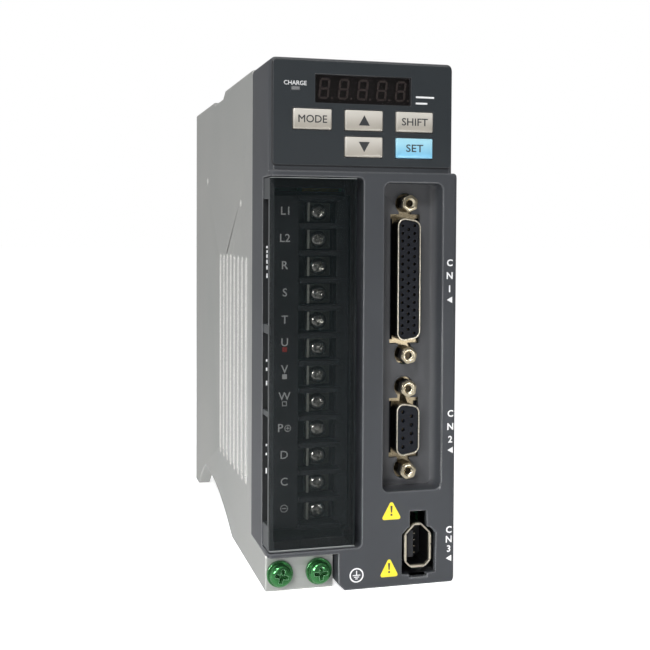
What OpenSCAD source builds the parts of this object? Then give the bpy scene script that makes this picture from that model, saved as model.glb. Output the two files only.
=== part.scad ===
// Panel-mounted servo drive: a metal side wall that is also the heat sink, a moulded front
// cover with keypad, terminal cover and cable sockets, a side shell, and the boards inside.
// Sizes are in millimetres. Every sub-part is drawn from the lower front left corner of the
// housing: x runs to the right, y from the front face to the back, z up.

/* [Body] */
// Width of the housing
body_w = 60; // [58:1:62]
// Height of the housing, without the mounting tab
body_h = 162; // [160:1:166]
// Depth from the front face to the mounting face
body_d = 152; // [148:1:158]
// Wall thickness of the moulded covers
wall_t = 2.2; // [1.8:0.1:2.4]
// Depth of the moulded front cover
cover_d = 26.5; // [26:0.5:28]

/* [Chassis] */
// Thickness of the metal side wall
side_t = 5; // [4:0.5:6]
// Thickness of the metal back plate
back_t = 3.5; // [3:0.5:4]
// Number of upright flutes in the side wall
flute_count = 8; // [4:1:8]
// Distance from flute to flute
flute_pitch = 7.3; // [6:0.1:7.4]
// Hole-to-hole distance of the two mounting holes
mount_pitch = 163; // [161:1:165]
// Radius of the mounting holes
mount_r = 2.6; // [2.2:0.1:3]

/* [Terminals] */
// Number of power terminals
terminal_count = 12; // [8:1:12]
// Distance from terminal to terminal
terminal_pitch = 8.55; // [8:0.05:8.6]

/* [Keypad] */
// Width of a key
key_w = 11.9; // [11:0.1:12.2]
// Height of a key
key_h = 6.1; // [5.6:0.1:6.2]
// Travel of a key
key_travel = 0.6; // [0.4:0.1:0.6]

/* [Hidden] */
$fn = 48;
eps = 0.01;

// Metal chassis
wall_top = 161.7;
notch_top = 159.3;
rear_top = 160.4;
plate_w = 58.6;
tab_w = 20;
tab_r = 4;
lower_hole_z = 5.2;
tab_top = lower_hole_z + mount_pitch + 4.8;
flute_r = 2.5;
flute_depth = 1.9;
flute_y = 36.6;
flute_z = [25.4, 101.2];
belly_y = 62;
belly_end = 124.5;
belly_rise = 12.2;
block_front = 4.5;
block_size = [21.5, 21.6, 11.3];
earth_xz = [[4.4, 5.55], [16.7, 5.55]];
dimples = [[46.8, 119.3], [120, 130.2]];

// Front cover
edge_r = 1.5;
step_z = 128.2;
step_back = 1.5;
upper_w = 58.7;
upper_r = 2.2;
panel_y = step_back + wall_t;
lip_z = 11.5;
bay_z = [13, 126.4];
bay_w = 29.3;
bay_d = 24;
wing_d = 9.9;
rib_t = 1.5;
recess_x = [36, 54.9];
recess_z = [29.6, 125];
recess_d = 8.5;
recess_r = 2;
floor_t = 1.5;
flange_y = recess_d + floor_t;
socket_x = 45.65;

// Keypad and display
key_cols = [7.3, 23.5, 39.8];
key_rows = [140.7, 132.65];
window_x = [14.1, 44.8];
window_z = [148.7, 157.4];
charge_xz = [6.7, 152.2];
charge_size = [2.8, 1.3];
panel_x = [1.2, 58];
panel_z = [130, 161.3];
overlay_t = 0.4;
key_front = 0.5;
play = 0.25;
board_y = 11;
board_t = 1.6;

// Door over the terminals
door_x = [0.3, 27.3];
door_z = [13.3, 126.1];
pane_t = 1.4;
pane_y = 0.3;
rail_t = 1.6;
rail_w = 3;
axis_x = 25.4;
knuckle_r = 1.4;
axis_y = pane_y + pane_t + knuckle_r;
knuckle_h = 5;
pin_r = 0.8;
wire_slots = [[20.4, 53.7], [55.3, 78.9], [81.6, 119.8]];
slot_front = 3.2;

// Terminals
top_terminal_z = 116.05;
clamp_y = 15.6;
screw_x = 18.7;

// Sockets
io_z = 95.05;
io_pitch = 47.6;
io_len = 38.3;
encoder_z = 47.8;
encoder_pitch = 26;
encoder_len = 16.4;
dsub_w = 7.6;
dsub_flange_w = 12.55;
dsub_angle = 10;
dsub_t = 0.42;
shell_front = 4.2;
serial_x = 47.9;
serial_z = 12.2;

// Boards
power_x = 15;
control_x = 52;
post_yz = [[34, 26], [34, 146], [134, 26], [134, 146]];

// From the corner frame to the middle of the base
module at_corner() translate([-body_w / 2, -body_d / 2, 0]) children();

// A flat outline drawn in (y, z), pulled out along +x
module along_x(length) rotate([90, 0, 90]) linear_extrude(length) children();

// A flat outline drawn in (x, z), pulled out along +y
module along_y(length) translate([0, length, 0]) rotate([90, 0, 0]) linear_extrude(length) children();

// A box given by its lowest and highest corner
module span(low, high) translate(low) cube(high - low);

// A rod along +y
module rod_y(r, length) rotate([-90, 0, 0]) cylinder(r = r, h = length);

// A rod along +x
module rod_x(r, length) rotate([0, 90, 0]) cylinder(r = r, h = length);

// A rectangle with four round corners
module round_rect(low, high, r) {
    translate([low[0] + r, low[1]]) square([high[0] - low[0] - 2 * r, high[1] - low[1]]);
    translate([low[0], low[1] + r]) square([high[0] - low[0], high[1] - low[1] - 2 * r]);
    for (x = [low[0] + r, high[0] - r], y = [low[1] + r, high[1] - r]) translate([x, y]) circle(r);
}

// Plan outline of a cover: two round front corners, square at the back
module cover_plan(width, front, back) {
    translate([0, front + edge_r]) square([width, back - front - edge_r]);
    translate([edge_r, front]) square([width - 2 * edge_r, edge_r + eps]);
    for (x = [edge_r, width - edge_r]) translate([x, front + edge_r]) circle(edge_r);
}

// Height of the underside at depth y: flat in front, then rising to the back
function belly(y) = y < belly_y ? 0 : belly_rise * (1 - pow((belly_end - y) / (belly_end - belly_y), 2.2));
belly_line = [for (i = [0:10]) let (y = belly_y + (belly_end - belly_y) * i / 10) [y, belly(y)]];

// ---- Metal chassis ----

module chassis_side() {
    foot = [[128, 11.2], [133, 8.2], [139, 4], [body_d - 8, 0]];
    crest = [[body_d, rear_top], [104, rear_top], [101.5, notch_top], [83, notch_top], [78, wall_top]];
    along_x(side_t)
        polygon(concat([[block_front, 0]], belly_line, foot, [[body_d, 0]], crest,
                       [[cover_d, wall_top], [cover_d, block_size[2]], [block_front, block_size[2]]]));
}

module chassis_back() {
    tab_x = (body_w - tab_w) / 2;
    translate([0, body_d - back_t, 0]) along_y(back_t) {
        translate([0, belly_rise]) square([plate_w, rear_top - belly_rise]);
        round_rect([tab_x, rear_top - 20], [tab_x + tab_w, tab_top], tab_r);
        round_rect([tab_x, 0], [tab_x + tab_w, belly_rise + 2 * tab_r], tab_r);
    }
}

module flute(y) {
    x = flute_depth - flute_r;
    translate([x, y, flute_z[0] + flute_r]) cylinder(r = flute_r, h = flute_z[1] - flute_z[0] - 2 * flute_r);
    for (z = [flute_z[0] + flute_r, flute_z[1] - flute_r]) translate([x, y, z]) sphere(flute_r);
}

module heatsink_chassis() {
    color([0.62, 0.63, 0.62]) at_corner() difference() {
        union() {
            chassis_side();
            chassis_back();
            translate([0, block_front, 0]) cube(block_size);
        }
        for (i = [0:flute_count - 1]) flute(flute_y + i * flute_pitch);
        for (d = dimples) translate([-0.6, d[0], d[1]]) sphere(1.3);
        for (e = earth_xz) translate([e[0], block_front - eps, e[1]]) rod_y(2.05, 14);
        for (z = [lower_hole_z, lower_hole_z + mount_pitch])
            translate([body_w / 2, body_d - back_t - 1, z]) rod_y(mount_r, back_t + 2);
        for (z = shell_screw_z) translate([shell_screw_x, body_d, z]) {
            translate([0, -back_t - 1, 0]) rod_y(1.6, back_t + 2);
            translate([0, -2, 0]) rod_y(3, 3);
        }
    }
}

// ---- Front cover ----

// Where a socket stands in the recess floor: a slot for the shell and a round end for each screw
module socket_cut(z, pitch, length) {
    translate([0, recess_d - eps, 0]) along_y(floor_t + 1) {
        translate([socket_x - 4.9, z - length / 2 - 1.3]) square([9.8, length + 2.6]);
        translate([socket_x - 2.1, z - pitch / 2]) square([4.2, pitch]);
        for (s = [-1, 1]) translate([socket_x, z + s * pitch / 2]) circle(3.3);
    }
}

module serial_cut() {
    translate([0, -1, 0]) along_y(panel_y + 1) {
        polygon([[42.4, 3.4], [53.5, 3.4], [53.5, 16], [51.4, 17.9], [44.3, 17.9], [42.4, 16]]);
        translate([45, 2.3]) square([5.6, 20.8]);
    }
}

module key_cut(x, z) translate([x - play, 0, z - play]) cube([key_w + 2 * play, panel_y + 1, key_h + 2 * play]);

// Front outline of the upper block: round at its two top corners
module upper_outline() {
    square([upper_w, body_h - upper_r]);
    round_rect([0, step_z], [upper_w, body_h], upper_r);
}

// Front outline of the lower block: round at its right corners, square on the left
module lower_outline() {
    square([body_w / 2, step_z]);
    round_rect([0, 0], [body_w, step_z], edge_r);
}

module cover_solid() {
    difference() {
        union() {
            intersection() {
                linear_extrude(step_z) cover_plan(body_w, 0, cover_d);
                along_y(cover_d) lower_outline();
            }
            intersection() {
                translate([0, 0, step_z - 1]) linear_extrude(body_h) cover_plan(upper_w, step_back, cover_d);
                along_y(cover_d) upper_outline();
            }
        }
        span([wall_t, panel_y, wall_t], [upper_w - wall_t, cover_d + 1, body_h - wall_t]);
        span([wall_t, wall_t, wall_t], [body_w - wall_t, cover_d + 1, bay_z[1]]);
    }
    span([0.5, 0.5, lip_z], [bay_w + rib_t, bay_d, step_z - eps]);
    span([recess_x[0] - rib_t, 0.5, recess_z[0] - rib_t], [recess_x[1] + rib_t, flange_y, recess_z[1] + rib_t]);
    span([block_size[0] + 0.4, 0.5, wall_t / 2], [block_size[0] + 0.4 + rib_t, cover_d, lip_z + 0.5]);
}

module front_cover() {
    color([0.3, 0.31, 0.33]) at_corner() difference() {
        cover_solid();
        span([-1, -1, -1], [block_size[0] + 0.4, cover_d + 1, lip_z]);
        translate([0, -1, 0]) along_y(wing_d + 1) round_rect([-5, bay_z[0]], [bay_w, bay_z[1]], edge_r);
        translate([0, wing_d - eps, 0]) along_y(bay_d + 1 - wing_d)
            round_rect([wall_t, bay_z[0]], [bay_w, bay_z[1]], edge_r);
        translate([0, -1, 0]) along_y(recess_d + 1)
            round_rect([recess_x[0], recess_z[0]], [recess_x[1], recess_z[1]], recess_r);
        translate([block_size[0] + 0.4, -1, 0]) along_y(cover_d + 2)
            polygon([[-1, -1], [2.1, -1], [2.1, 0], [0, 2.1], [-1, 2.1]]);
        socket_cut(io_z, io_pitch, io_len);
        socket_cut(encoder_z, encoder_pitch, encoder_len);
        serial_cut();
        span([window_x[0], 0, window_z[0]], [window_x[1], panel_y + 1, window_z[1]]);
        span([charge_xz[0], 0, charge_xz[1]],
             [charge_xz[0] + charge_size[0], panel_y + 1, charge_xz[1] + charge_size[1]]);
        for (k = key_places) key_cut(k[0], k[1]);
        for (z = [lip_z + 0.4, bay_z[1] - eps]) translate([axis_x, axis_y, z]) cylinder(r = pin_r + 0.02, h = 1.4);
    }
}

// ---- Side shell ----

shell_x = side_t + 0.2;
shell_back = body_d - back_t - 0.2;
shell_top = 161.8;
shell_screw_x = 50;
shell_screw_z = [26, 150];
label_yz = [[52, 48], [104, 98]];

module shell_outline(inset) {
    back = shell_back + (inset > 0 ? 1 : 0);
    front = cover_d - (inset > 0 ? 1 : 0);
    base = [for (p = belly_line) [p[0], p[1] + inset]];
    polygon(concat([[front, inset]], base, [[back, belly_rise + inset], [back, shell_top - inset],
                                            [front, shell_top - inset]]));
}

module shell_vents() {
    for (i = [0:9]) span([14, 44 + i * 9, shell_top - wall_t - 1], [50, 47.2 + i * 9, shell_top + 1]);
    for (i = [0:3]) span([14, 32 + i * 7.4, -1], [50, 35.2 + i * 7.4, wall_t + 1]);
    for (i = [0:5], y = [44, 96]) span([body_w - wall_t - 1, y, 116 + i * 6.4], [body_w + 1, y + 36, 119 + i * 6.4]);
}

module side_shell() {
    color([0.27, 0.28, 0.3]) at_corner() difference() {
        union() {
            difference() {
                intersection() {
                    translate([shell_x, 0, 0]) along_x(body_w - shell_x) shell_outline(0);
                    along_y(body_d) {
                        square([body_w / 2, shell_top]);
                        round_rect([0, 0], [body_w, shell_top], edge_r);
                    }
                }
                translate([shell_x - 1, 0, 0]) along_x(body_w - shell_x + 1 - wall_t) shell_outline(wall_t);
            }
            for (z = shell_screw_z)
                span([shell_screw_x - 4, shell_back - 9, z - 4], [body_w - 1, shell_back, z + 4]);
        }
        for (z = shell_screw_z) translate([shell_screw_x, shell_back - 8, z]) rod_y(1.3, 9);
        shell_vents();
        span([body_w - 0.2, label_yz[0][0], label_yz[0][1]], [body_w + 1, label_yz[1][0], label_yz[1][1]]);
    }
}

module side_label() {
    color([0.85, 0.86, 0.87]) at_corner()
        span([body_w - 0.2, label_yz[0][0] + 0.1, label_yz[0][1] + 0.1],
             [body_w, label_yz[1][0] - 0.1, label_yz[1][1] - 0.1]);
}

module shell_screws() {
    color([0.7, 0.7, 0.72]) at_corner() for (z = shell_screw_z) difference() {
        translate([shell_screw_x, body_d, z]) {
            translate([0, -2, 0]) rod_y(2.8, 1.7);
            translate([0, -back_t - 7, 0]) rod_y(1.25, back_t + 6);
        }
        for (turn = [0, 90]) translate([shell_screw_x, body_d - 0.7, z]) rotate([0, turn, 0])
            cube([3.4, 2, 0.7], center = true);
    }
}

// ---- Display and keypad ----

key_places = [[key_cols[0], key_rows[0]], [key_cols[1], key_rows[0]], [key_cols[1], key_rows[1]],
              [key_cols[2], key_rows[0]], [key_cols[2], key_rows[1]]];

module display_panel() {
    color([0.2, 0.21, 0.24]) at_corner() difference() {
        translate([0, step_back - overlay_t, 0]) along_y(overlay_t)
            round_rect([panel_x[0], panel_z[0]], [panel_x[1], panel_z[1]], 1);
        span([window_x[0], 0, window_z[0]], [window_x[1], panel_y, window_z[1]]);
        span([charge_xz[0], 0, charge_xz[1]],
             [charge_xz[0] + charge_size[0], panel_y, charge_xz[1] + charge_size[1]]);
        for (k = key_places) key_cut(k[0], k[1]);
    }
}

module display_window() {
    color([0.12, 0.08, 0.08]) at_corner()
        span([window_x[0] + 0.1, step_back - overlay_t, window_z[0] + 0.1],
             [window_x[1] - 0.1, panel_y, window_z[1] - 0.1]);
}

module led_display() {
    color([0.1, 0.1, 0.11]) at_corner()
        span([window_x[0] - 0.8, panel_y, window_z[0] - 0.9], [window_x[1] + 0.8, board_y, window_z[1] + 0.9]);
}

module charge_led() {
    color([0.55, 0.45, 0.42]) at_corner()
        span([charge_xz[0] + 0.1, step_back - 0.2, charge_xz[1] + 0.1],
             [charge_xz[0] + charge_size[0] - 0.1, board_y, charge_xz[1] + charge_size[1] - 0.1]);
}

// A key: cap, a rim that keeps it behind the panel, and a stem to its switch
module key(place) {
    lip = 0.4;
    rim_y = panel_y + 0.2;
    translate([place[0], 0, place[1]]) {
        translate([0, key_front, 0]) along_y(rim_y - key_front + eps) round_rect([0, 0], [key_w, key_h], 0.4);
        span([-lip - play, rim_y, -lip - play], [key_w + lip + play, rim_y + 1, key_h + lip + play]);
        translate([key_w / 2, rim_y + 1 - eps, key_h / 2]) rod_y(1.5, 1.7);
    }
}

module key_mode() color([0.85, 0.84, 0.8]) at_corner() key(key_places[0]);
module key_up() color([0.85, 0.84, 0.8]) at_corner() key(key_places[1]);
module key_down() color([0.85, 0.84, 0.8]) at_corner() key(key_places[2]);
module key_shift() color([0.85, 0.84, 0.8]) at_corner() key(key_places[3]);
module key_set() color([0.55, 0.8, 0.92]) at_corner() key(key_places[4]);

module tact_switches() {
    color([0.15, 0.15, 0.15]) at_corner() for (k = key_places)
        translate([k[0] + key_w / 2, 0, k[1] + key_h / 2]) {
            span([-2.9, 8.2, -2.9], [2.9, board_y, 2.9]);
            translate([0, panel_y + 2.9 + key_travel, 0]) rod_y(1.4, 8.3 - panel_y - 2.9 - key_travel);
        }
}

module display_board() {
    color([0.1, 0.4, 0.2]) at_corner() span([4, board_y, 131], [55, board_y + board_t, 159]);
}

// Flat cable from the back of the display board to the control board
module display_ribbon() {
    back = board_y + board_t;
    color([0.75, 0.75, 0.78]) at_corner() translate([0, 0, 134]) linear_extrude(12)
        polygon([[46, back], [46.8, back], [46.8, 21], [49.4, 25], [control_x, 25], [control_x, 25.8],
                 [49, 25.8], [46, 21.4]]);
}

// ---- Door over the terminals ----

module door_window() {
    color([0.08, 0.09, 0.1]) at_corner() translate([0, 0, door_z[0]])
        linear_extrude(door_z[1] - door_z[0]) difference() {
            union() {
                translate([door_x[0] + 1, pane_y]) square([door_x[1] - door_x[0] - 1, pane_t]);
                translate([door_x[0], pane_y + 1]) square([2, pane_t - 1]);
                translate([door_x[0] + 1, pane_y + 1]) circle(1);
            }
            translate([door_x[0] - 1, pane_y + pane_t]) square([4, 1]);
        }
}

module door_frame() {
    back = pane_y + pane_t;
    color([0.33, 0.34, 0.36]) at_corner() difference() {
        union() {
            span([door_x[0], back, door_z[0]], [door_x[0] + rail_t, wing_d - 0.2, door_z[1]]);
            for (z = [door_z[0], door_z[1] - rail_w])
                span([door_x[0], back, z], [door_x[1], back + rail_t, z + rail_w]);
            span([door_x[1] - rail_t, back, door_z[0]], [door_x[1], back + rail_t, door_z[1]]);
            for (z = [door_z[0], door_z[1] - knuckle_h]) {
                translate([axis_x, axis_y, z]) cylinder(r = knuckle_r, h = knuckle_h);
                span([axis_x - knuckle_r, back, z], [axis_x + knuckle_r, axis_y, z + knuckle_h]);
            }
        }
        for (s = wire_slots) span([-1, slot_front, s[0]], [door_x[0] + rail_t + 1, wing_d + 1, s[1]]);
        translate([axis_x, axis_y, door_z[0] - 1]) cylinder(r = pin_r + 0.05, h = door_z[1] - door_z[0] + 2);
    }
}

module hinge_pins() {
    color([0.75, 0.75, 0.76]) at_corner() {
        translate([axis_x, axis_y, lip_z + 0.5]) cylinder(r = pin_r, h = bay_z[0] - lip_z - 0.5 + knuckle_h);
        translate([axis_x, axis_y, bay_z[1] - knuckle_h]) cylinder(r = pin_r, h = knuckle_h + 1.3);
    }
}

// ---- Terminals ----

function terminal_z(i) = top_terminal_z - i * terminal_pitch;
last_terminal_z = terminal_z(terminal_count - 1);

module terminal_block() {
    low = last_terminal_z - terminal_pitch / 2 - 0.8;
    high = top_terminal_z + terminal_pitch / 2 + 0.8;
    color([0.13, 0.13, 0.14]) at_corner() difference() {
        union() {
            span([2.8, clamp_y, low - 1.5], [28.8, bay_d, high + 1.5]);
            span([2.8, 10.6, low], [11.6, clamp_y + eps, high]);
            for (i = [0:terminal_count])
                translate([11.5, 9, high - 1.6 - i * terminal_pitch]) cube([13.5, clamp_y - 9 + eps, 1.6]);
            span([24, 12, low], [28, clamp_y + eps, high]);
        }
        for (i = [0:terminal_count - 1]) translate([screw_x, clamp_y - 1, terminal_z(i)]) rod_y(1.75, 8.5);
    }
}

module terminal_clamps() {
    color([0.8, 0.8, 0.76]) at_corner() for (i = [0:terminal_count - 1]) difference() {
        translate([screw_x, 0, terminal_z(i)]) {
            span([-3.9, clamp_y - 1, -3], [4, clamp_y, 3]);
            span([-3.9, clamp_y - 2.8, -3], [-3.1, clamp_y, 3]);
        }
        translate([screw_x, clamp_y - 2, terminal_z(i)]) rod_y(1.8, 3);
    }
}

// Cross recess for a screw head that faces the front
module cross_recess(size, depth) {
    for (turn = [0, 90]) rotate([0, turn, 0])
        translate([-size / 2, -eps, -size / 9]) cube([size, depth, size / 4.5]);
}

module terminal_screws() {
    head_y = clamp_y - 3;
    color([0.75, 0.76, 0.75]) at_corner() for (i = [0:terminal_count - 1])
        translate([screw_x, head_y, terminal_z(i)]) difference() {
            union() {
                rod_y(2.7, 2);
                rod_y(1.5, 9);
            }
            cross_recess(3.4, 1.2);
        }
}

module terminal_label() {
    color([0.1, 0.1, 0.1]) at_corner()
        span([3.2, 10.3, last_terminal_z - 4], [11.2, 10.6, top_terminal_z + 4]);
}

module earth_screws() {
    color([0.25, 0.62, 0.42]) at_corner() for (e = earth_xz) translate([e[0], 0.7, e[1]]) difference() {
        union() {
            rod_y(3.5, 2.6);
            rod_y(2, 15);
        }
        cross_recess(4.6, 1.5);
    }
}

module earth_washers() {
    color([0.3, 0.66, 0.46]) at_corner() for (e = earth_xz) translate([e[0], block_front - 1.2, e[1]])
        difference() {
            rod_y(4.1, 1.2);
            translate([0, -1, 0]) rod_y(2.1, 4);
        }
}

// ---- Sockets ----

// Points along an arc, both ends included
function arc(centre, r, from, to) =
    [for (i = [0:8]) let (t = from + (to - from) * i / 8) centre + r * [cos(t), sin(t)]];

// Outline of a D-shaped shell: the long side faces left, the ends lean in
module d_outline(length, width, r) {
    x = width / 2 - r;
    a = length / 2 - r;
    b = a - 2 * x * tan(dsub_angle);
    lean = 90 - dsub_angle;
    polygon(concat(arc([x, -b], r, -lean, 0), arc([x, b], r, 0, lean),
                   arc([-x, a], r, lean, 180), arc([-x, -a], r, 180, 360 - lean)));
}

module d_shell(z, pitch, length) {
    at_corner() translate([socket_x, 0, z]) difference() {
        union() {
            translate([0, flange_y, 0]) along_y(0.8) {
                square([dsub_w - 0.1, length + 2], center = true);
                for (s = [-1, 1]) translate([0, s * (length / 2 + pitch / 2 + 3) / 2])
                    round_rect([-dsub_flange_w / 2, (length / 2 - pitch / 2 - 3) / 2],
                               [dsub_flange_w / 2, (pitch / 2 + 3 - length / 2) / 2], 1.5);
            }
            translate([0, shell_front, 0]) along_y(flange_y - shell_front + eps) d_outline(length, dsub_w, 2.4);
        }
        translate([0, shell_front - 1, 0]) along_y(flange_y - shell_front + 3)
            d_outline(length - 2 * dsub_t, dsub_w - 2 * dsub_t, 2.4 - dsub_t);
        for (s = [-1, 1]) translate([0, flange_y - 1, s * pitch / 2]) rod_y(1.6, 4);
    }
}

// Contact holes: rows side by side, each as [sideways place, number of holes]
module contact_holes(rows, hole_pitch, r) {
    for (row = rows, i = [0:row[1] - 1])
        translate([row[0], shell_front - 1, (i - (row[1] - 1) / 2) * hole_pitch]) rod_y(r, 5);
}

module d_insulator(z, pitch, length, rows, hole_pitch, hole_r) {
    inner = 2 * dsub_t + 0.1;
    at_corner() translate([socket_x, 0, z]) difference() {
        union() {
            translate([0, shell_front + 0.6, 0]) along_y(flange_y + 0.9 - shell_front)
                d_outline(length - inner, dsub_w - inner, 2.35 - dsub_t);
            span([-5.4, flange_y + 0.8, -pitch / 2 + 2.4], [control_x - socket_x, 22, pitch / 2 - 2.4]);
        }
        contact_holes(rows, hole_pitch, hole_r);
    }
}

module io_shell() color([0.86, 0.8, 0.62]) d_shell(io_z, io_pitch, io_len);
module io_insulator()
    color([0.12, 0.13, 0.16])
        d_insulator(io_z, io_pitch, io_len, [[-1.98, 15], [0, 14], [1.98, 15]], 2.41, 0.5);
module encoder_shell() color([0.86, 0.8, 0.62]) d_shell(encoder_z, encoder_pitch, encoder_len);
module encoder_insulator()
    color([0.12, 0.13, 0.16])
        d_insulator(encoder_z, encoder_pitch, encoder_len, [[-1.42, 5], [1.42, 4]], 2.77, 0.6);

module jack_sockets() {
    hex_r = 5 / sqrt(3);
    color([0.87, 0.82, 0.68]) at_corner()
        for (c = [[io_z, io_pitch], [encoder_z, encoder_pitch]], s = [-1, 1])
            translate([socket_x, 3.6, c[0] + s * c[1] / 2]) difference() {
                union() {
                    intersection() {
                        rotate([-90, 30, 0]) cylinder(r = hex_r, h = flange_y - 3.6, $fn = 6);
                        rod_y(2.7, flange_y - 3.6);
                    }
                    rod_y(1.45, flange_y + 1.2);
                }
                translate([0, -eps, 0]) rod_y(1.25, 5.5);
            }
}

// Outline of the serial socket: eight-sided, with the wider cut corners at the top
module serial_outline(half_w, half_h, top_cut, low_cut) {
    polygon([[-half_w, -half_h + low_cut], [-half_w + low_cut, -half_h], [half_w - low_cut, -half_h],
             [half_w, -half_h + low_cut], [half_w, half_h - top_cut], [half_w - top_cut, half_h],
             [-half_w + top_cut, half_h], [-half_w, half_h - top_cut]]);
}

module serial_shell() {
    color([0.86, 0.82, 0.66]) at_corner() translate([serial_x, 0, serial_z]) difference() {
        translate([0, 0.8, 0]) along_y(13.2) serial_outline(4.15, 6.75, 2.9, 1.5);
        along_y(20) serial_outline(3.72, 6.32, 2.7, 1.3);
    }
}

module serial_insulator() {
    color([0.1, 0.1, 0.12]) at_corner() {
        translate([serial_x, 0, serial_z]) {
            translate([0, 9.5, 0]) along_y(4.5) serial_outline(3.67, 6.27, 2.7, 1.3);
            span([-2.9, 2.6, -4.2], [-0.9, 9.6, 4.2]);
        }
        span([serial_x - 4, 14, serial_z - 7], [control_x, 22, serial_z + 6]);
    }
}

// ---- Boards and what stands on them ----

module control_board() {
    color([0.1, 0.42, 0.22]) at_corner() translate([control_x, 0, 0]) difference() {
        along_x(board_t)
            polygon([[16, 4.5], [60, 4.5], [86, 19], [138, 19], [138, 154], [16, 154]]);
        for (p = post_yz) translate([-1, p[0], p[1]]) rod_x(1.6, 4);
    }
}

// Processor, memory and driver packages on the inner face of the control board
module control_chips() {
    chips = [[60, 84, 22, 22], [62, 58, 14, 10], [96, 90, 12, 18], [44, 116, 16, 8], [96, 60, 10, 10]];
    color([0.1, 0.1, 0.11]) at_corner() for (c = chips)
        translate([control_x - 1.8, c[0], c[1]]) cube([1.8, c[2], c[3]]);
}

module power_board() {
    color([0.12, 0.36, 0.2]) at_corner() difference() {
        span([power_x, 27, 17], [power_x + board_t, 145, 156]);
        for (p = post_yz) translate([power_x - 1, p[0], p[1]]) rod_x(1.6, 4);
    }
}

module power_module() {
    color([0.12, 0.12, 0.13]) at_corner() {
        span([side_t + 0.5, 46, 48], [side_t + 6.5, 104, 82]);
        for (i = [0:10], z = [49, 80]) translate([side_t + 6.5 - eps, 49 + i * 5, z])
            cube([power_x - side_t - 6.5 + eps, 1, 1]);
    }
}

module thermal_pad() {
    color([0.7, 0.72, 0.75]) at_corner() span([side_t, 46, 48], [side_t + 0.5, 104, 82]);
}

module bus_capacitors() {
    color([0.16, 0.18, 0.3]) at_corner() for (z = [46, 71, 96])
        translate([power_x + board_t, 116, z]) difference() {
            rod_x(11, 30);
            translate([3, 0, 0]) rotate([0, 90, 0]) rotate_extrude() translate([11.6, 0]) circle(1.2);
        }
}

module transformer() {
    x = power_x + board_t;
    color([0.75, 0.7, 0.3]) at_corner() {
        span([x, 46, 104], [x + 18, 70, 126]);
        span([x + 3, 44, 107], [x + 15, 72, 123]);
    }
}

module inrush_relay() {
    x = power_x + board_t;
    color([0.1, 0.12, 0.16]) at_corner() span([x, 84, 118], [x + 16, 100, 140]);
}

module wall_spacers() {
    color([0.78, 0.75, 0.6]) at_corner() for (p = post_yz)
        translate([side_t, p[0], p[1]]) rotate([0, 90, 0]) cylinder(r = 3.2, h = power_x - side_t, $fn = 6);
}

module board_spacers() {
    x = power_x + board_t;
    color([0.78, 0.75, 0.6]) at_corner() for (p = post_yz) difference() {
        translate([x, p[0], p[1]]) rotate([0, 90, 0]) cylinder(r = 3.2, h = control_x - x, $fn = 6);
        translate([control_x - 9, p[0], p[1]]) rod_x(1.3, 10);
    }
}

module board_screws() {
    color([0.75, 0.75, 0.77]) at_corner() for (p = post_yz) translate([control_x + board_t, p[0], p[1]])
        difference() {
            union() {
                rod_x(2.8, 1.8);
                translate([-9, 0, 0]) rod_x(1.25, 9 + eps);
            }
            for (turn = [0, 90]) translate([1.8, 0, 0]) rotate([turn, 0, 0]) cube([2, 3.6, 0.8], center = true);
        }
}

heatsink_chassis();
front_cover();
side_shell();
display_panel();
display_window();
led_display();
charge_led();
key_mode();
key_up();
key_down();
key_shift();
key_set();
tact_switches();
display_board();
display_ribbon();
door_frame();
door_window();
hinge_pins();
terminal_block();
terminal_clamps();
terminal_screws();
terminal_label();
earth_screws();
earth_washers();
io_shell();
io_insulator();
encoder_shell();
encoder_insulator();
jack_sockets();
serial_shell();
serial_insulator();
control_board();
control_chips();
power_board();
power_module();
thermal_pad();
bus_capacitors();
transformer();
inrush_relay();
wall_spacers();
board_spacers();
board_screws();
shell_screws();
side_label();
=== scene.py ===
import math

import bmesh
import bpy
from mathutils import Matrix, Vector


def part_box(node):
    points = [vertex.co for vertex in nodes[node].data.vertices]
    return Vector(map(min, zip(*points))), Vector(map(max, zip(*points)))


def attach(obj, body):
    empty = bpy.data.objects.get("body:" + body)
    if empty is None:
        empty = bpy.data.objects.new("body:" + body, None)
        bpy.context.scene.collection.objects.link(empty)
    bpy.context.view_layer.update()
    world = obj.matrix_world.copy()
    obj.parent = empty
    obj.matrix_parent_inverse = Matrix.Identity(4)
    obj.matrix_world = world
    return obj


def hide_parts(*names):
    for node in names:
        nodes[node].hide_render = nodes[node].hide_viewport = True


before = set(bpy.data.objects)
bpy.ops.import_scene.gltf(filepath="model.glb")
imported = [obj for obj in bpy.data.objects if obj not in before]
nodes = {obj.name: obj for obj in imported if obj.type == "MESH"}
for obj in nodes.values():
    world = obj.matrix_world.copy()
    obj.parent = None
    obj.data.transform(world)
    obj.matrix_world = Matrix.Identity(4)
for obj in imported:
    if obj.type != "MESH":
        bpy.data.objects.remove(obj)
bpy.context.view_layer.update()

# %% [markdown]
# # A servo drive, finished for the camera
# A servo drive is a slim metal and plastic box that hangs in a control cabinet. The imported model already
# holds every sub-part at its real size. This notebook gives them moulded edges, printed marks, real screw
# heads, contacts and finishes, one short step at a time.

MM = 0.001
scene = bpy.context.scene
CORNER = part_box("front_cover")[0]
TO_FRAME = Matrix.Translation(CORNER) @ Matrix.Scale(MM, 4)


def at(x, y, z):
    """A point given in millimetres from the housing's lower front left corner."""
    return TO_FRAME @ Vector((x, y, z))


def span_mm(node):
    """The lowest and highest corner of a sub-part, in millimetres from the same corner."""
    back = TO_FRAME.inverted()
    low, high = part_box(node)
    return back @ low, back @ high


# %% [markdown]
# ## Camera
# The drive is seen from slightly left of its front and from a little above its middle, fairly close, so
# the metal side shows as a narrow receding wall. A small shift frames it as a shift lens would.

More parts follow.
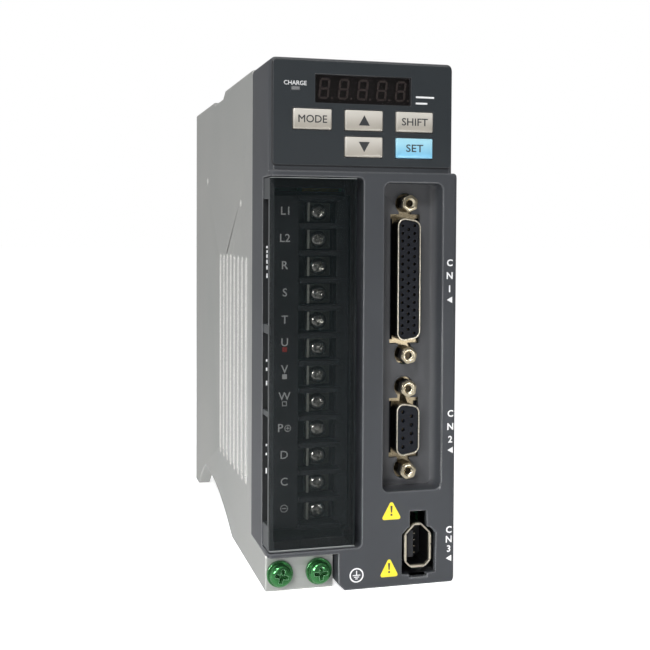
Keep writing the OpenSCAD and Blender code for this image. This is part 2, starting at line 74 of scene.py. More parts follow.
# %% Camera
PICTURE = 650
FOCAL = 1023.9
lens = bpy.data.cameras.new("camera")
lens.sensor_width = 36.0
lens.lens = FOCAL * lens.sensor_width / PICTURE
lens.shift_x = 0.020
lens.shift_y = -0.097
lens.clip_start = 0.01
camera = bpy.data.objects.new("camera", lens)
scene.collection.objects.link(camera)
camera.location = at(-64.5, -297.7, 110.0)
YAW, PITCH, ROLL = math.radians(14.607), math.radians(-1.713), math.radians(-0.276)
forward = Vector((math.sin(YAW) * math.cos(PITCH), math.cos(YAW) * math.cos(PITCH), math.sin(PITCH)))
turn = forward.to_track_quat("-Z", "Y").to_matrix() @ Matrix.Rotation(-ROLL, 3, "Z")
camera.rotation_mode = "QUATERNION"
camera.rotation_quaternion = turn.to_quaternion()
scene.camera = camera
print("camera", [round(v, 4) for v in camera.location], "lens", round(lens.lens, 2), "mm")

# %% [markdown]
# ## Studio
# A product picture on pure white is lit by a big white tent. The world is that tent: white where the
# camera looks straight at it and a softer grey for everything else, darker in front, where the camera and
# the room stand, so that dark plastic keeps its depth, and lighter below, where the table stands. Mirror
# rays pass the floor and see that table. Area lamps add the highlights that run down rounded edges, a
# narrow one lifts the foot of the drive, and a tiny one puts a second sparkle in every screw.

# %% Studio
TENT_LIGHT = 0.40
DARK_SIDE = 0.10
TABLE_LIGHT = 0.42
scene.view_settings.view_transform = "Standard"
world = bpy.data.worlds.new("studio")
scene.world = world
world.use_nodes = True
sky = world.node_tree
seen = sky.nodes.new("ShaderNodeLightPath")
level = sky.nodes.new("ShaderNodeMapRange")
level.inputs["To Max"].default_value = 1.0
sky.links.new(seen.outputs["Is Camera Ray"], level.inputs["Value"])
way = sky.nodes.new("ShaderNodeTexCoord")
toward = sky.nodes.new("ShaderNodeVectorMath")
toward.operation = "DOT_PRODUCT"
toward.inputs[1].default_value = Vector((0.55, -0.83, 0.0)).normalized()
sky.links.new(way.outputs["Generated"], toward.inputs[0])
fall = sky.nodes.new("ShaderNodeMapRange")
fall.interpolation_type = "SMOOTHSTEP"
fall.inputs["From Min"].default_value = 0.1
fall.inputs["From Max"].default_value = 0.95
fall.inputs["To Min"].default_value = TENT_LIGHT
fall.inputs["To Max"].default_value = DARK_SIDE
sky.links.new(toward.outputs["Value"], fall.inputs["Value"])
axes = sky.nodes.new("ShaderNodeSeparateXYZ")
sky.links.new(way.outputs["Generated"], axes.inputs[0])
table = sky.nodes.new("ShaderNodeMapRange")
table.interpolation_type = "SMOOTHSTEP"
table.inputs["From Min"].default_value = -0.02
table.inputs["From Max"].default_value = -0.30
table.inputs["To Max"].default_value = TABLE_LIGHT
sky.links.new(axes.outputs["Z"], table.inputs["Value"])
both = sky.nodes.new("ShaderNodeMath")
sky.links.new(fall.outputs["Result"], both.inputs[0])
sky.links.new(table.outputs["Result"], both.inputs[1])
sky.links.new(both.outputs[0], level.inputs["To Min"])
sky.links.new(level.outputs["Result"], sky.nodes["Background"].inputs["Strength"])
sky.nodes["Background"].inputs["Color"].default_value = (1, 1, 1, 1)


def softbox(name, place, aim, width, height, power, spread=180):
    """A rectangular lamp that faces the point it is aimed at; spread is its beam in degrees."""
    lamp = bpy.data.lights.new(name, "AREA")
    lamp.shape = "RECTANGLE"
    lamp.size, lamp.size_y = width, height
    lamp.energy = power
    lamp.spread = math.radians(spread)
    holder = bpy.data.objects.new(name, lamp)
    scene.collection.objects.link(holder)
    holder.location = place
    holder.rotation_mode = "QUATERNION"
    holder.rotation_quaternion = (aim - place).to_track_quat("-Z", "Y")
    return holder


middle = at(30, 40, 85)
softbox("key_light", at(-260, -520, 560), middle, 0.14, 0.14, 2.3)
softbox("side_light", at(-700, 40, 60), middle, 0.5, 0.7, 0.6)
softbox("top_light", at(60, 20, 760), middle, 0.7, 0.7, 2.6)
softbox("foot_light", at(-330, -420, 150), at(20, 10, -30), 0.2, 0.1, 0.09, 30)
softbox("glint_light", at(190, -420, 40), middle, 0.05, 0.05, 0.10)

FLOOR_HALF = 6.0
floor_mesh = bpy.data.meshes.new("floor")
floor_corners = [(x * FLOOR_HALF, y * FLOOR_HALF, 0) for x, y in ((-1, -1), (1, -1), (1, 1), (-1, 1))]
floor_mesh.from_pydata(floor_corners, [], [(0, 1, 2, 3)])
floor = bpy.data.objects.new("floor", floor_mesh)
scene.collection.objects.link(floor)
floor_paint = bpy.data.materials.new("floor_paint")
floor_paint.use_nodes = True
floor_shader = floor_paint.node_tree.nodes["Principled BSDF"]
floor_shader.inputs["Base Color"].default_value = (0.92, 0.92, 0.92, 1)
floor_shader.inputs["Roughness"].default_value = 0.9
floor_shader.inputs["Emission Color"].default_value = (1, 1, 1, 1)
floor_shader.inputs["Emission Strength"].default_value = 0.7
floor_mesh.materials.append(floor_paint)
floor.visible_glossy = False

# %% [markdown]
# ## Shared surface effects
# Real surfaces are never one flat colour. Four small node groups carry what the finishes share: a fine
# grain for moulded and cast skins, a slow drift of tone, a painted highlight on the edges, and a smooth
# ramp along one axis. Each is built once and placed in a material with its own values.


# %% Shader node groups
def shader_group(name, inputs, outputs):
    """An empty shader node group with named inputs (name, value) and outputs (name, socket type)."""
    group = bpy.data.node_groups.new(name, "ShaderNodeTree")
    for label, value in inputs:
        socket = group.interface.new_socket(label, in_out="INPUT", socket_type="NodeSocketFloat")
        socket.default_value = value
    for label, kind in outputs:
        group.interface.new_socket(label, in_out="OUTPUT", socket_type=kind)
    return group, group.nodes.new("NodeGroupInput"), group.nodes.new("NodeGroupOutput")


def math_node(tree, operation, a, b):
    """A Math node; each operand is a number or a socket."""
    node = tree.nodes.new("ShaderNodeMath")
    node.operation = operation
    for slot, value in zip(node.inputs, (a, b)):
        if isinstance(value, (int, float)):
            slot.default_value = value
        else:
            tree.links.new(value, slot)
    return node.outputs[0]


def noise_node(tree, scale, detail=2.0):
    """A Noise texture on Object coordinates; the scale is a number or a socket."""
    place = tree.nodes.new("ShaderNodeTexCoord")
    noise = tree.nodes.new("ShaderNodeTexNoise")
    noise.inputs["Detail"].default_value = detail
    tree.links.new(place.outputs["Object"], noise.inputs["Vector"])
    if isinstance(scale, (int, float)):
        noise.inputs["Scale"].default_value = scale
    else:
        tree.links.new(scale, noise.inputs["Scale"])
    return noise.outputs["Fac"]


grain, grain_in, grain_out = shader_group(
    "surface_grain", [("Size mm", 0.3)], [("Height", "NodeSocketFloat")])
per_metre = math_node(grain, "DIVIDE", 1000.0, grain_in.outputs["Size mm"])
grain.links.new(noise_node(grain, per_metre, 3.0), grain_out.inputs["Height"])

drift, drift_in, drift_out = shader_group(
    "tone_drift", [("Size mm", 30.0), ("Amount", 0.5)], [("Shade", "NodeSocketFloat")])
slow = noise_node(drift, math_node(drift, "DIVIDE", 1000.0, drift_in.outputs["Size mm"]))
swing = math_node(drift, "MULTIPLY", math_node(drift, "SUBTRACT", slow, 0.5), drift_in.outputs["Amount"])
drift.links.new(math_node(drift, "ADD", 0.5, math_node(drift, "MULTIPLY", swing, 2.0)),
                drift_out.inputs["Shade"])

# Painted highlight: a paler tone laid along edges, broken up by noise, for the light that rounded edges
# catch.
edge_highlight, edge_highlight_in, edge_highlight_out = shader_group(
    "painted_edge_highlight", [("Reach mm", 0.4), ("Break up", 0.5)], [("Mask", "NodeSocketFloat")])
rounded = edge_highlight.nodes.new("ShaderNodeBevel")
rounded.samples = 4
edge_highlight.links.new(math_node(edge_highlight, "MULTIPLY", edge_highlight_in.outputs["Reach mm"], MM), rounded.inputs["Radius"])
true_normal = edge_highlight.nodes.new("ShaderNodeNewGeometry")
facing = edge_highlight.nodes.new("ShaderNodeVectorMath")
facing.operation = "DOT_PRODUCT"
edge_highlight.links.new(rounded.outputs["Normal"], facing.inputs[0])
edge_highlight.links.new(true_normal.outputs["Normal"], facing.inputs[1])
bend = math_node(edge_highlight, "SUBTRACT", 1.0, facing.outputs["Value"])
patch = math_node(edge_highlight, "MULTIPLY", noise_node(edge_highlight, 220.0), edge_highlight_in.outputs["Break up"])
kept = math_node(edge_highlight, "SUBTRACT", 1.0, patch)
edge = math_node(edge_highlight, "MULTIPLY", math_node(edge_highlight, "MULTIPLY", bend, 6.0), kept)
edge_highlight.links.new(math_node(edge_highlight, "MINIMUM", edge, 1.0), edge_highlight_out.inputs["Mask"])

ramp, ramp_in, ramp_out = shader_group(
    "depth_ramp", [("Front mm", 0.0), ("Back mm", 10.0)], [("Share", "NodeSocketFloat")])
spot = ramp.nodes.new("ShaderNodeTexCoord")
axes = ramp.nodes.new("ShaderNodeSeparateXYZ")
ramp.links.new(spot.outputs["Object"], axes.inputs[0])
depth_mm = math_node(ramp, "MULTIPLY", math_node(ramp, "SUBTRACT", axes.outputs["Y"], CORNER.y), 1000.0)
span = ramp.nodes.new("ShaderNodeMapRange")
span.interpolation_type = "SMOOTHSTEP"
ramp.links.new(depth_mm, span.inputs["Value"])
ramp.links.new(ramp_in.outputs["Front mm"], span.inputs["From Min"])
ramp.links.new(ramp_in.outputs["Back mm"], span.inputs["From Max"])
ramp.links.new(span.outputs["Result"], ramp_out.inputs["Share"])
print("shared groups:", grain.name, drift.name, edge_highlight.name, ramp.name)

# %% [markdown]
# ## Finishes
# Every material starts the same way: two close tones mixed by the slow drift, a painted highlight on the
# edges and a bump from the grain. A finish then only says its own colours, gloss and depth.


# %% A finish from tones, gloss, grain and edges
def group_node(tree, group, **values):
    """Places a shared group in a material, with its inputs set by name (spaces written as _)."""
    node = tree.nodes.new("ShaderNodeGroup")
    node.node_tree = group
    for label, value in values.items():
        node.inputs[label.replace("_", " ")].default_value = value
    return node


def mix_colour(tree, factor, a, b):
    """A colour mix; the factor is a socket or a number, each colour an (r, g, b) or a socket."""
    mix = tree.nodes.new("ShaderNodeMix")
    mix.data_type = "RGBA"
    for socket, value in ((mix.inputs[0], factor), (mix.inputs[6], a), (mix.inputs[7], b)):
        if isinstance(value, (int, float)):
            socket.default_value = value
        elif isinstance(value, (tuple, list)):
            socket.default_value = (*value, 1)
        else:
            tree.links.new(value, socket)
    return mix.outputs[2]


def finish(name, dark, light, rough, metal=0.0, grain_mm=0.3, depth=0.02, edge_highlight_tone=None, reach=0.35,
           drift_mm=30.0, coat=0.0, rough_swing=0.06, specular=0.5):
    """A material whose colour drifts between two tones, with a painted highlight on its edges and a grain in
    its gloss and its bump.
    """
    made = bpy.data.materials.new(name)
    made.use_nodes = True
    tree = made.node_tree
    shader = tree.nodes["Principled BSDF"]
    shade = group_node(tree, drift, Size_mm=drift_mm, Amount=0.9).outputs["Shade"]
    colour = mix_colour(tree, shade, dark, light)
    # The edge tone is a painted highlight along the edges.
    if edge_highlight_tone:
        mask = group_node(tree, edge_highlight, Reach_mm=reach, Break_up=0.6).outputs["Mask"]
        colour = mix_colour(tree, mask, colour, edge_highlight_tone)
    tree.links.new(colour, shader.inputs["Base Color"])
    skin = group_node(tree, grain, Size_mm=grain_mm).outputs["Height"]
    gloss = math_node(tree, "ADD", rough - rough_swing / 2, math_node(tree, "MULTIPLY", skin, rough_swing))
    tree.links.new(gloss, shader.inputs["Roughness"])
    bump = tree.nodes.new("ShaderNodeBump")
    bump.inputs["Distance"].default_value = depth * MM
    tree.links.new(skin, bump.inputs["Height"])
    tree.links.new(bump.outputs["Normal"], shader.inputs["Normal"])
    shader.inputs["Metallic"].default_value = metal
    shader.inputs["Coat Weight"].default_value = coat
    shader.inputs["Specular IOR Level"].default_value = specular
    return made


def across(tree, x0, x1):
    """A mask that goes from 0 to 1 between two places along x, in millimetres."""
    place = tree.nodes.new("ShaderNodeTexCoord")
    axes = tree.nodes.new("ShaderNodeSeparateXYZ")
    tree.links.new(place.outputs["Object"], axes.inputs[0])
    share = tree.nodes.new("ShaderNodeMapRange")
    share.inputs["From Min"].default_value = at(x0, 0, 0).x
    share.inputs["From Max"].default_value = at(x1, 0, 0).x
    tree.links.new(axes.outputs["X"], share.inputs["Value"])
    return share.outputs["Result"]


def turned_to(tree, axis, least, most):
    """A mask of the faces whose normal has a size between least and most along an axis."""
    faces = tree.nodes.new("ShaderNodeNewGeometry")
    axes = tree.nodes.new("ShaderNodeSeparateXYZ")
    tree.links.new(faces.outputs["Normal"], axes.inputs[0])
    share = tree.nodes.new("ShaderNodeMapRange")
    share.interpolation_type = "SMOOTHSTEP"
    share.inputs["From Min"].default_value = least
    share.inputs["From Max"].default_value = most
    value = axes.outputs[axis] if axis == "Z" else math_node(tree, "ABSOLUTE", axes.outputs[axis], 0.0)
    tree.links.new(value, share.inputs["Value"])
    return share.outputs["Result"]


def repaint(made, pattern):
    """Passes a material's colour through pattern(tree, colour) and puts the result back."""
    tree = made.node_tree
    socket = tree.nodes["Principled BSDF"].inputs["Base Color"]
    tree.links.new(pattern(tree, socket.links[0].from_socket), socket)


# %% Metals
cast_metal = finish("cast_metal", (0.32, 0.33, 0.32), (0.37, 0.37, 0.355), 0.48, 0.4, 0.35, 0.05,
                    (0.90, 0.89, 0.86), 0.8, 60.0, rough_swing=0.2)
bright_nickel = finish("bright_nickel", (0.62, 0.62, 0.58), (0.80, 0.79, 0.74), 0.17, 1.0, 0.5, 0.01,
                       (0.95, 0.95, 0.9), 0.2)
brown_gold = finish("brown_gold", (0.22, 0.15, 0.08), (0.32, 0.24, 0.14), 0.3, 1.0, 0.4, 0.01,
                    (0.8, 0.7, 0.5), 0.25)
green_plate = finish("green_plate", (0.05, 0.22, 0.07), (0.11, 0.36, 0.13), 0.20, 0.85, 0.4, 0.01,
                     (0.55, 0.9, 0.62), 0.3)
turned_brass = finish("turned_brass", (0.62, 0.48, 0.22), (0.75, 0.60, 0.30), 0.32, 1.0, 0.2, 0.01)
print("metals", 5)

# %% Plastics, films and boards
housing_skin = finish("housing_skin", (0.036, 0.039, 0.045), (0.044, 0.048, 0.055), 0.5, 0.0, 0.22, 0.03,
                      (0.30, 0.305, 0.31), 0.6)
shell_skin = finish("shell_skin", (0.042, 0.046, 0.053), (0.052, 0.057, 0.064), 0.5, 0.0, 0.22, 0.03,
                    (0.16, 0.165, 0.17), 0.6)
panel_film = finish("panel_film", (0.020, 0.025, 0.029), (0.026, 0.031, 0.035), 0.38, 0.0, 0.15, 0.008,
                    (0.12, 0.125, 0.135), 0.25)
black_plastic = finish("black_plastic", (0.012, 0.013, 0.015), (0.018, 0.019, 0.022), 0.45, 0.0, 0.25,
                       0.02, (0.05, 0.052, 0.055), 0.3)
socket_plastic = finish("socket_plastic", (0.005, 0.006, 0.010), (0.007, 0.009, 0.014), 0.5, 0.0, 0.3,
                        0.01, (0.04, 0.045, 0.06), 0.2, specular=0.3)
solder_mask = finish("solder_mask", (0.012, 0.13, 0.05), (0.02, 0.2, 0.08), 0.3, 0.0, 1.2, 0.01)
ribbon_skin = finish("ribbon_skin", (0.40, 0.40, 0.43), (0.5, 0.5, 0.53), 0.5, 0.0, 0.6, 0.01)
pad_skin = finish("pad_skin", (0.36, 0.38, 0.40), (0.45, 0.47, 0.5), 0.7, 0.0, 0.4, 0.03)
sleeve_film = finish("sleeve_film", (0.012, 0.018, 0.07), (0.02, 0.03, 0.1), 0.25, 0.0, 0.6, 0.008)
tape_film = finish("tape_film", (0.62, 0.46, 0.05), (0.75, 0.58, 0.08), 0.35, 0.0, 0.8, 0.02)
label_paper = finish("label_paper", (0.66, 0.67, 0.68), (0.72, 0.73, 0.74), 0.45, 0.0, 0.4, 0.006)
lamp_lens = finish("lamp_lens", (0.17, 0.175, 0.18), (0.22, 0.22, 0.225), 0.3, 0.0, 1.5, 0.01)
print("plastics", 12)

# %% Inks
white_ink = finish("white_ink", (0.70, 0.71, 0.72), (0.80, 0.80, 0.80), 0.5, 0.0, 0.2, 0.005)
dark_ink = finish("dark_ink", (0.025, 0.027, 0.030), (0.04, 0.042, 0.046), 0.5, 0.0, 0.2, 0.005)
dim_ink = finish("dim_ink", (0.50, 0.51, 0.50), (0.64, 0.64, 0.63), 0.5, 0.0, 1.5, 0.005)
red_ink = finish("red_ink", (0.32, 0.02, 0.015), (0.4, 0.03, 0.02), 0.5, 0.0, 0.2, 0.005)
yellow_ink = finish("yellow_ink", (0.74, 0.58, 0.02), (0.82, 0.66, 0.03), 0.45, 0.0, 0.3, 0.005)
segment_tone = finish("segment_tone", (0.070, 0.054, 0.049), (0.086, 0.067, 0.061), 0.5, 0.0, 0.2, 0.005)
print("inks", 6)

# %% [markdown]
# ## Drawing tools
# Small parts are drawn in millimetres from the housing's lower front left corner, where sizes are easy to
# read, and moved into the frame at the end. A piece then rides on its CAD body, takes its finish and
# hides the plain solid that it stands for.


# %% From a drawing to a piece
def add_piece(name, mesh, made, body, slot, *replaced):
    """Links a finished mesh as a piece of the object, in one finish, riding on a body."""
    mesh.name = name
    mesh.materials.clear()
    mesh.materials.append(made)
    obj = bpy.data.objects.new(name, mesh)
    scene.collection.objects.link(obj)
    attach(obj, body)
    if replaced:
        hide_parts(*replaced)
    check = bmesh.new()
    check.from_mesh(mesh)
    open_edges = sum(1 for e in check.edges if not e.is_manifold)
    tris = sum(len(f.verts) - 2 for f in check.faces)
    check.free()
    print(f"{name}: {tris} triangles, {open_edges} open edges")
    return obj


def to_mesh(drawing, in_frame=True, sharp=35.0):
    """Turns a bmesh drawing into a mesh, smooth except across sharp edges, and moves it into the frame."""
    mesh = bpy.data.meshes.new("drawing")
    if in_frame:
        drawing.transform(TO_FRAME)
    drawing.to_mesh(mesh)
    drawing.free()
    mesh.shade_smooth()
    mesh.set_sharp_from_angle(angle=math.radians(sharp))
    return mesh


def apply_modifiers(obj):
    """The mesh of an object with its modifiers applied; the object itself is removed."""
    graph = bpy.context.evaluated_depsgraph_get()
    mesh = bpy.data.meshes.new_from_object(obj.evaluated_get(graph), depsgraph=graph)
    obj.modifiers.clear()
    bpy.data.objects.remove(obj)
    return mesh


def joined(*meshes):
    """One mesh from several."""
    whole = bmesh.new()
    for mesh in meshes:
        whole.from_mesh(mesh)
    result = bpy.data.meshes.new("joined")
    whole.to_mesh(result)
    whole.free()
    return result


# %% Solids in millimetres
def prism(drawing, outline, front, back):
    """A solid from an (x, z) outline, from depth front to depth back."""
    near = [drawing.verts.new((x, front, z)) for x, z in outline]
    far = [drawing.verts.new((x, back, z)) for x, z in outline]
    faces = [drawing.faces.new(near), drawing.faces.new(far[::-1])]
    for i, a in enumerate(near):
        j = (i + 1) % len(near)
        faces.append(drawing.faces.new((a, far[i], far[j], near[j])))
    bmesh.ops.recalc_face_normals(drawing, faces=faces)
    return faces


def rounded_outline(x0, z0, x1, z1, r, steps=6):
    """A rectangle with round corners, as (x, z) points."""
    centres = [(x1 - r, z1 - r), (x0 + r, z1 - r), (x0 + r, z0 + r), (x1 - r, z0 + r)]
    points = []
    for (cx, cz), start in zip(centres, (0, 90, 180, 270)):
        for i in range(steps + 1):
            t = math.radians(start + 90 * i / steps)
            points.append((cx + r * math.cos(t), cz + r * math.sin(t)))
    return points


def bridge(drawing, loops):
    """Joins each loop of points to the next one with four-sided faces."""
    faces = []
    for a, b in zip(loops, loops[1:]):
        for i in range(len(a)):
            j = (i + 1) % len(a)
            faces.append(drawing.faces.new((a[i], a[j], b[j], b[i])))
    return faces


def crown(drawing, outline, rings):
    """A solid over an (x, z) outline: each ring is (depth, inset), from the back to the crowned front."""
    cx = sum(p[0] for p in outline) / len(outline)
    cz = sum(p[1] for p in outline) / len(outline)
    half_x = max(p[0] for p in outline) - cx
    half_z = max(p[1] for p in outline) - cz
    loops = []
    for depth, inset in rings:
        sx, sz = 1 - inset / half_x, 1 - inset / half_z
        loops.append([drawing.verts.new((cx + (x - cx) * sx, depth, cz + (z - cz) * sz)) for x, z in outline])
    faces = [drawing.faces.new(loops[0]), drawing.faces.new(loops[-1])] + bridge(drawing, loops)
    bmesh.ops.recalc_face_normals(drawing, faces=faces)
    return faces


def lathe(drawing, profile, steps=24, centre=(0, 0, 0)):
    """A turned solid about a line along y; the profile is (radius, depth) points that start and end at 0."""
    cx, cy, cz = centre
    turns = [2 * math.pi * i / steps for i in range(steps)]
    rings = []
    for r, y in profile:
        if r == 0:
            rings.append([drawing.verts.new((cx, cy + y, cz))])
            continue
        rings.append([drawing.verts.new((cx + r * math.cos(t), cy + y, cz + r * math.sin(t))) for t in turns])
    faces = []
    for a, b in zip(rings, rings[1:]):
        for i in range(steps):
            j = (i + 1) % steps
            corners = [a[i % len(a)], a[j % len(a)], b[j % len(b)], b[i % len(b)]]
            faces.append(drawing.faces.new(list(dict.fromkeys(corners))))
    bmesh.ops.recalc_face_normals(drawing, faces=faces)
    return faces


def cut_away(mesh, tool):
    """The mesh with the tool's solid removed."""
    body = bpy.data.objects.new("body", mesh)
    cutter = bpy.data.objects.new("cutter", tool)
    for obj in (body, cutter):
        scene.collection.objects.link(obj)
    boolean = body.modifiers.new("cut", "BOOLEAN")
    boolean.operation = "DIFFERENCE"
    boolean.solver = "EXACT"
    boolean.object = cutter
    bpy.context.view_layer.update()
    result = apply_modifiers(body)
    bpy.data.objects.remove(cutter)
    return result


# %% Flat faces that rounding has folded
FOLD_AREA = 0.01
LEVEL_MM, LEVEL_DOT = 1e-3, 0.99999


def flat_region(face):
    """The face with all the faces that continue it in the same plane."""
    normal, region, waiting = face.normal.copy(), {face}, [face]
    while waiting:
        for e in waiting.pop().edges:
            for f in e.link_faces:
                level = abs((f.verts[0].co - e.verts[0].co).dot(normal)) < LEVEL_MM
                if f not in region and level and abs(f.normal.dot(normal)) > LEVEL_DOT:
                    region.add(f)
                    waiting.append(f)
    return region


def number_folds(work):
    """Writes a number on the faces of each flat region that holds a folded triangle; returns how many."""
    number = work.faces.layers.int.new("region")
    count = 0
    for a, b, c in work.calc_loop_triangles():
        corner_cross = (b.vert.co - a.vert.co).cross(c.vert.co - a.vert.co)
        if a.face[number] or corner_cross.dot(a.face.normal) > -FOLD_AREA:
            continue
        count += 1
        for f in flat_region(a.face):
            f[number] = count
    return count


def fill_again(work, wanted):
    """A copy of a drawing with one numbered region filled anew; None if no face has that number."""
    trial = work.copy()
    number = trial.faces.layers.int["region"]
    region = [f for f in trial.faces if f[number] == wanted]
    if not region:
        trial.free()
        return None
    normal = max(region, key=lambda f: f.calc_area()).normal.copy()
    rim = {e for f in region for e in f.edges if sum(g[number] == wanted for g in e.link_faces) == 1}
    bmesh.ops.delete(trial, geom=region, context="FACES_KEEP_BOUNDARY")
    made = bmesh.ops.triangle_fill(trial, use_beauty=True, edges=list(rim), normal=normal)
    for f in made["geom"]:
        if isinstance(f, bmesh.types.BMFace):
            f.smooth = False
            if f.normal.dot(normal) < 0:
                f.normal_flip()
    return trial


def refilled(mesh):
    """Fills folded flat regions again, wherever that leaves the mesh closed. Works in millimetres."""
    work = bmesh.new()
    work.from_mesh(mesh)
    bmesh.ops.scale(work, vec=(1 / MM,) * 3, verts=work.verts)
    count = number_folds(work)
    filled = 0
    for wanted in range(1, count + 1):
        trial = fill_again(work, wanted)
        if trial is None:
            continue
        if all(len(e.link_faces) == 2 for e in trial.edges):
            work, trial, filled = trial, work, filled + 1
        trial.free()
    if filled:
        work.faces.layers.int.remove(work.faces.layers.int["region"])
        bmesh.ops.scale(work, vec=(MM,) * 3, verts=work.verts)
        work.to_mesh(mesh)
        print("refilled", filled, "of", count, "folded regions of", mesh.name)
    work.free()
    return mesh


# %% Softened copies of CAD solids
SAME_POINT = 2e-6
FLAT_ANGLE, EDGE_ANGLE = math.radians(0.6), math.radians(32.0)
EVERYWHERE = ((-99, -99, -99), (999, 999, 999))


def softened(node, width, segments=2, within=EVERYWHERE):
    """A copy of a sub-part's mesh with its flat faces cleaned up and its hard outer edges rounded.

    within is (low, high) in millimetres: only edges inside that box are rounded.
    """
    low, high = within
    work = bmesh.new()
    work.from_mesh(nodes[node].data)
    bmesh.ops.remove_doubles(work, verts=work.verts, dist=SAME_POINT)
    bmesh.ops.dissolve_limit(work, angle_limit=FLAT_ANGLE, verts=work.verts, edges=work.edges)
    back = TO_FRAME.inverted()
    weights = work.edges.layers.float.new("bevel_weight_edge")
    for e in work.edges:
        if not e.is_manifold:
            continue
        ends = [back @ v.co for v in e.verts]
        inside = all(low[i] <= p[i] <= high[i] for p in ends for i in range(3))
        if inside and e.calc_face_angle_signed(0.0) > EDGE_ANGLE:
            e[weights] = 1.0
    mesh = bpy.data.meshes.new(node)
    work.to_mesh(mesh)
    work.free()
    mesh.shade_smooth()
    mesh.set_sharp_from_angle(angle=EDGE_ANGLE)
    obj = bpy.data.objects.new(node, mesh)
    scene.collection.objects.link(obj)
    bevel = obj.modifiers.new("round", "BEVEL")
    bevel.width = width * MM
    bevel.segments = segments
    bevel.limit_method = "WEIGHT"
    bevel.use_clamp_overlap = False
    bevel.harden_normals = True
    bpy.context.view_layer.update()
    return refilled(apply_modifiers(obj))


# %% [markdown]
# ## Repeating parts
# Terminal screws, clamps, contacts and posts stand in straight rows, so one Geometry Nodes tree makes them
# all. It takes a master shape, a count, a start and a step, and a random turn about the screw's own axis,
# because no fitter stops every slot at the same angle.


# %% A row by Geometry Nodes
def row_tree():
    """Builds the tree: a line of points, the master on each, turned about y, made real and painted."""
    tree = bpy.data.node_groups.new("row_of_parts", "GeometryNodeTree")
    sockets = [("Master", "NodeSocketObject"), ("Count", "NodeSocketInt"), ("Start", "NodeSocketVector"),
               ("Step", "NodeSocketVector"), ("Turn", "NodeSocketFloat"), ("Seed", "NodeSocketInt"),
               ("Finish", "NodeSocketMaterial")]
    for label, kind in sockets:
        tree.interface.new_socket(label, in_out="INPUT", socket_type=kind)
    tree.interface.new_socket("Parts", in_out="OUTPUT", socket_type="NodeSocketGeometry")
    given = tree.nodes.new("NodeGroupInput").outputs
    line = tree.nodes.new("GeometryNodeMeshLine")
    tree.links.new(given["Count"], line.inputs["Count"])
    tree.links.new(given["Start"], line.inputs["Start Location"])
    tree.links.new(given["Step"], line.inputs["Offset"])
    master = tree.nodes.new("GeometryNodeObjectInfo")
    tree.links.new(given["Master"], master.inputs["Object"])
    spin = tree.nodes.new("FunctionNodeRandomValue")
    negative = tree.nodes.new("ShaderNodeMath")
    negative.operation = "MULTIPLY"
    negative.inputs[1].default_value = -1.0
    tree.links.new(given["Turn"], negative.inputs[0])
    tree.links.new(negative.outputs[0], spin.inputs[2])
    tree.links.new(given["Turn"], spin.inputs[3])
    tree.links.new(given["Seed"], spin.inputs["Seed"])
    about_y = tree.nodes.new("ShaderNodeCombineXYZ")
    tree.links.new(spin.outputs[1], about_y.inputs["Y"])
    place = tree.nodes.new("GeometryNodeInstanceOnPoints")
    tree.links.new(line.outputs["Mesh"], place.inputs["Points"])
    tree.links.new(master.outputs["Geometry"], place.inputs["Instance"])
    tree.links.new(about_y.outputs[0], place.inputs["Rotation"])
    real = tree.nodes.new("GeometryNodeRealizeInstances")
    tree.links.new(place.outputs["Instances"], real.inputs["Geometry"])
    paint = tree.nodes.new("GeometryNodeSetMaterial")
    tree.links.new(real.outputs["Geometry"], paint.inputs["Geometry"])
    tree.links.new(given["Finish"], paint.inputs["Material"])
    result = tree.nodes.new("NodeGroupOutput")
    tree.links.new(paint.outputs["Geometry"], result.inputs["Parts"])
    return tree


ROW = row_tree()


def row_of(master, count, start, step, made, turn=0.0, seed=1):
    """A row of copies of a master mesh drawn in millimetres, as one mesh in the frame."""
    holder = bpy.data.objects.new("row", bpy.data.meshes.new("row"))
    shape = bpy.data.objects.new("master", master)
    for obj in (holder, shape):
        scene.collection.objects.link(obj)
    modifier = holder.modifiers.new("row", "NODES")
    modifier.node_group = ROW
    wanted = {"Master": shape, "Count": count, "Start": start, "Step": step, "Turn": turn, "Seed": seed,
              "Finish": made}
    for item in ROW.interface.items_tree:
        if item.in_out == "INPUT":
            modifier[item.identifier] = wanted[item.name]
    bpy.context.view_layer.update()
    mesh = apply_modifiers(holder)
    bpy.data.objects.remove(shape)
    mesh.transform(TO_FRAME)
    return mesh


print("row tree inputs:", [i.name for i in ROW.interface.items_tree if i.in_out == "INPUT"])

# %% [markdown]
# ## Legends
# Printing on a drive is a thin layer of ink. A text object gives the letters; it is made a mesh, scaled to
# the height of the print, stood upright and laid a few hundredths of a millimetre proud of its surface.


# %% Printed letters and marks
INK = 0.03


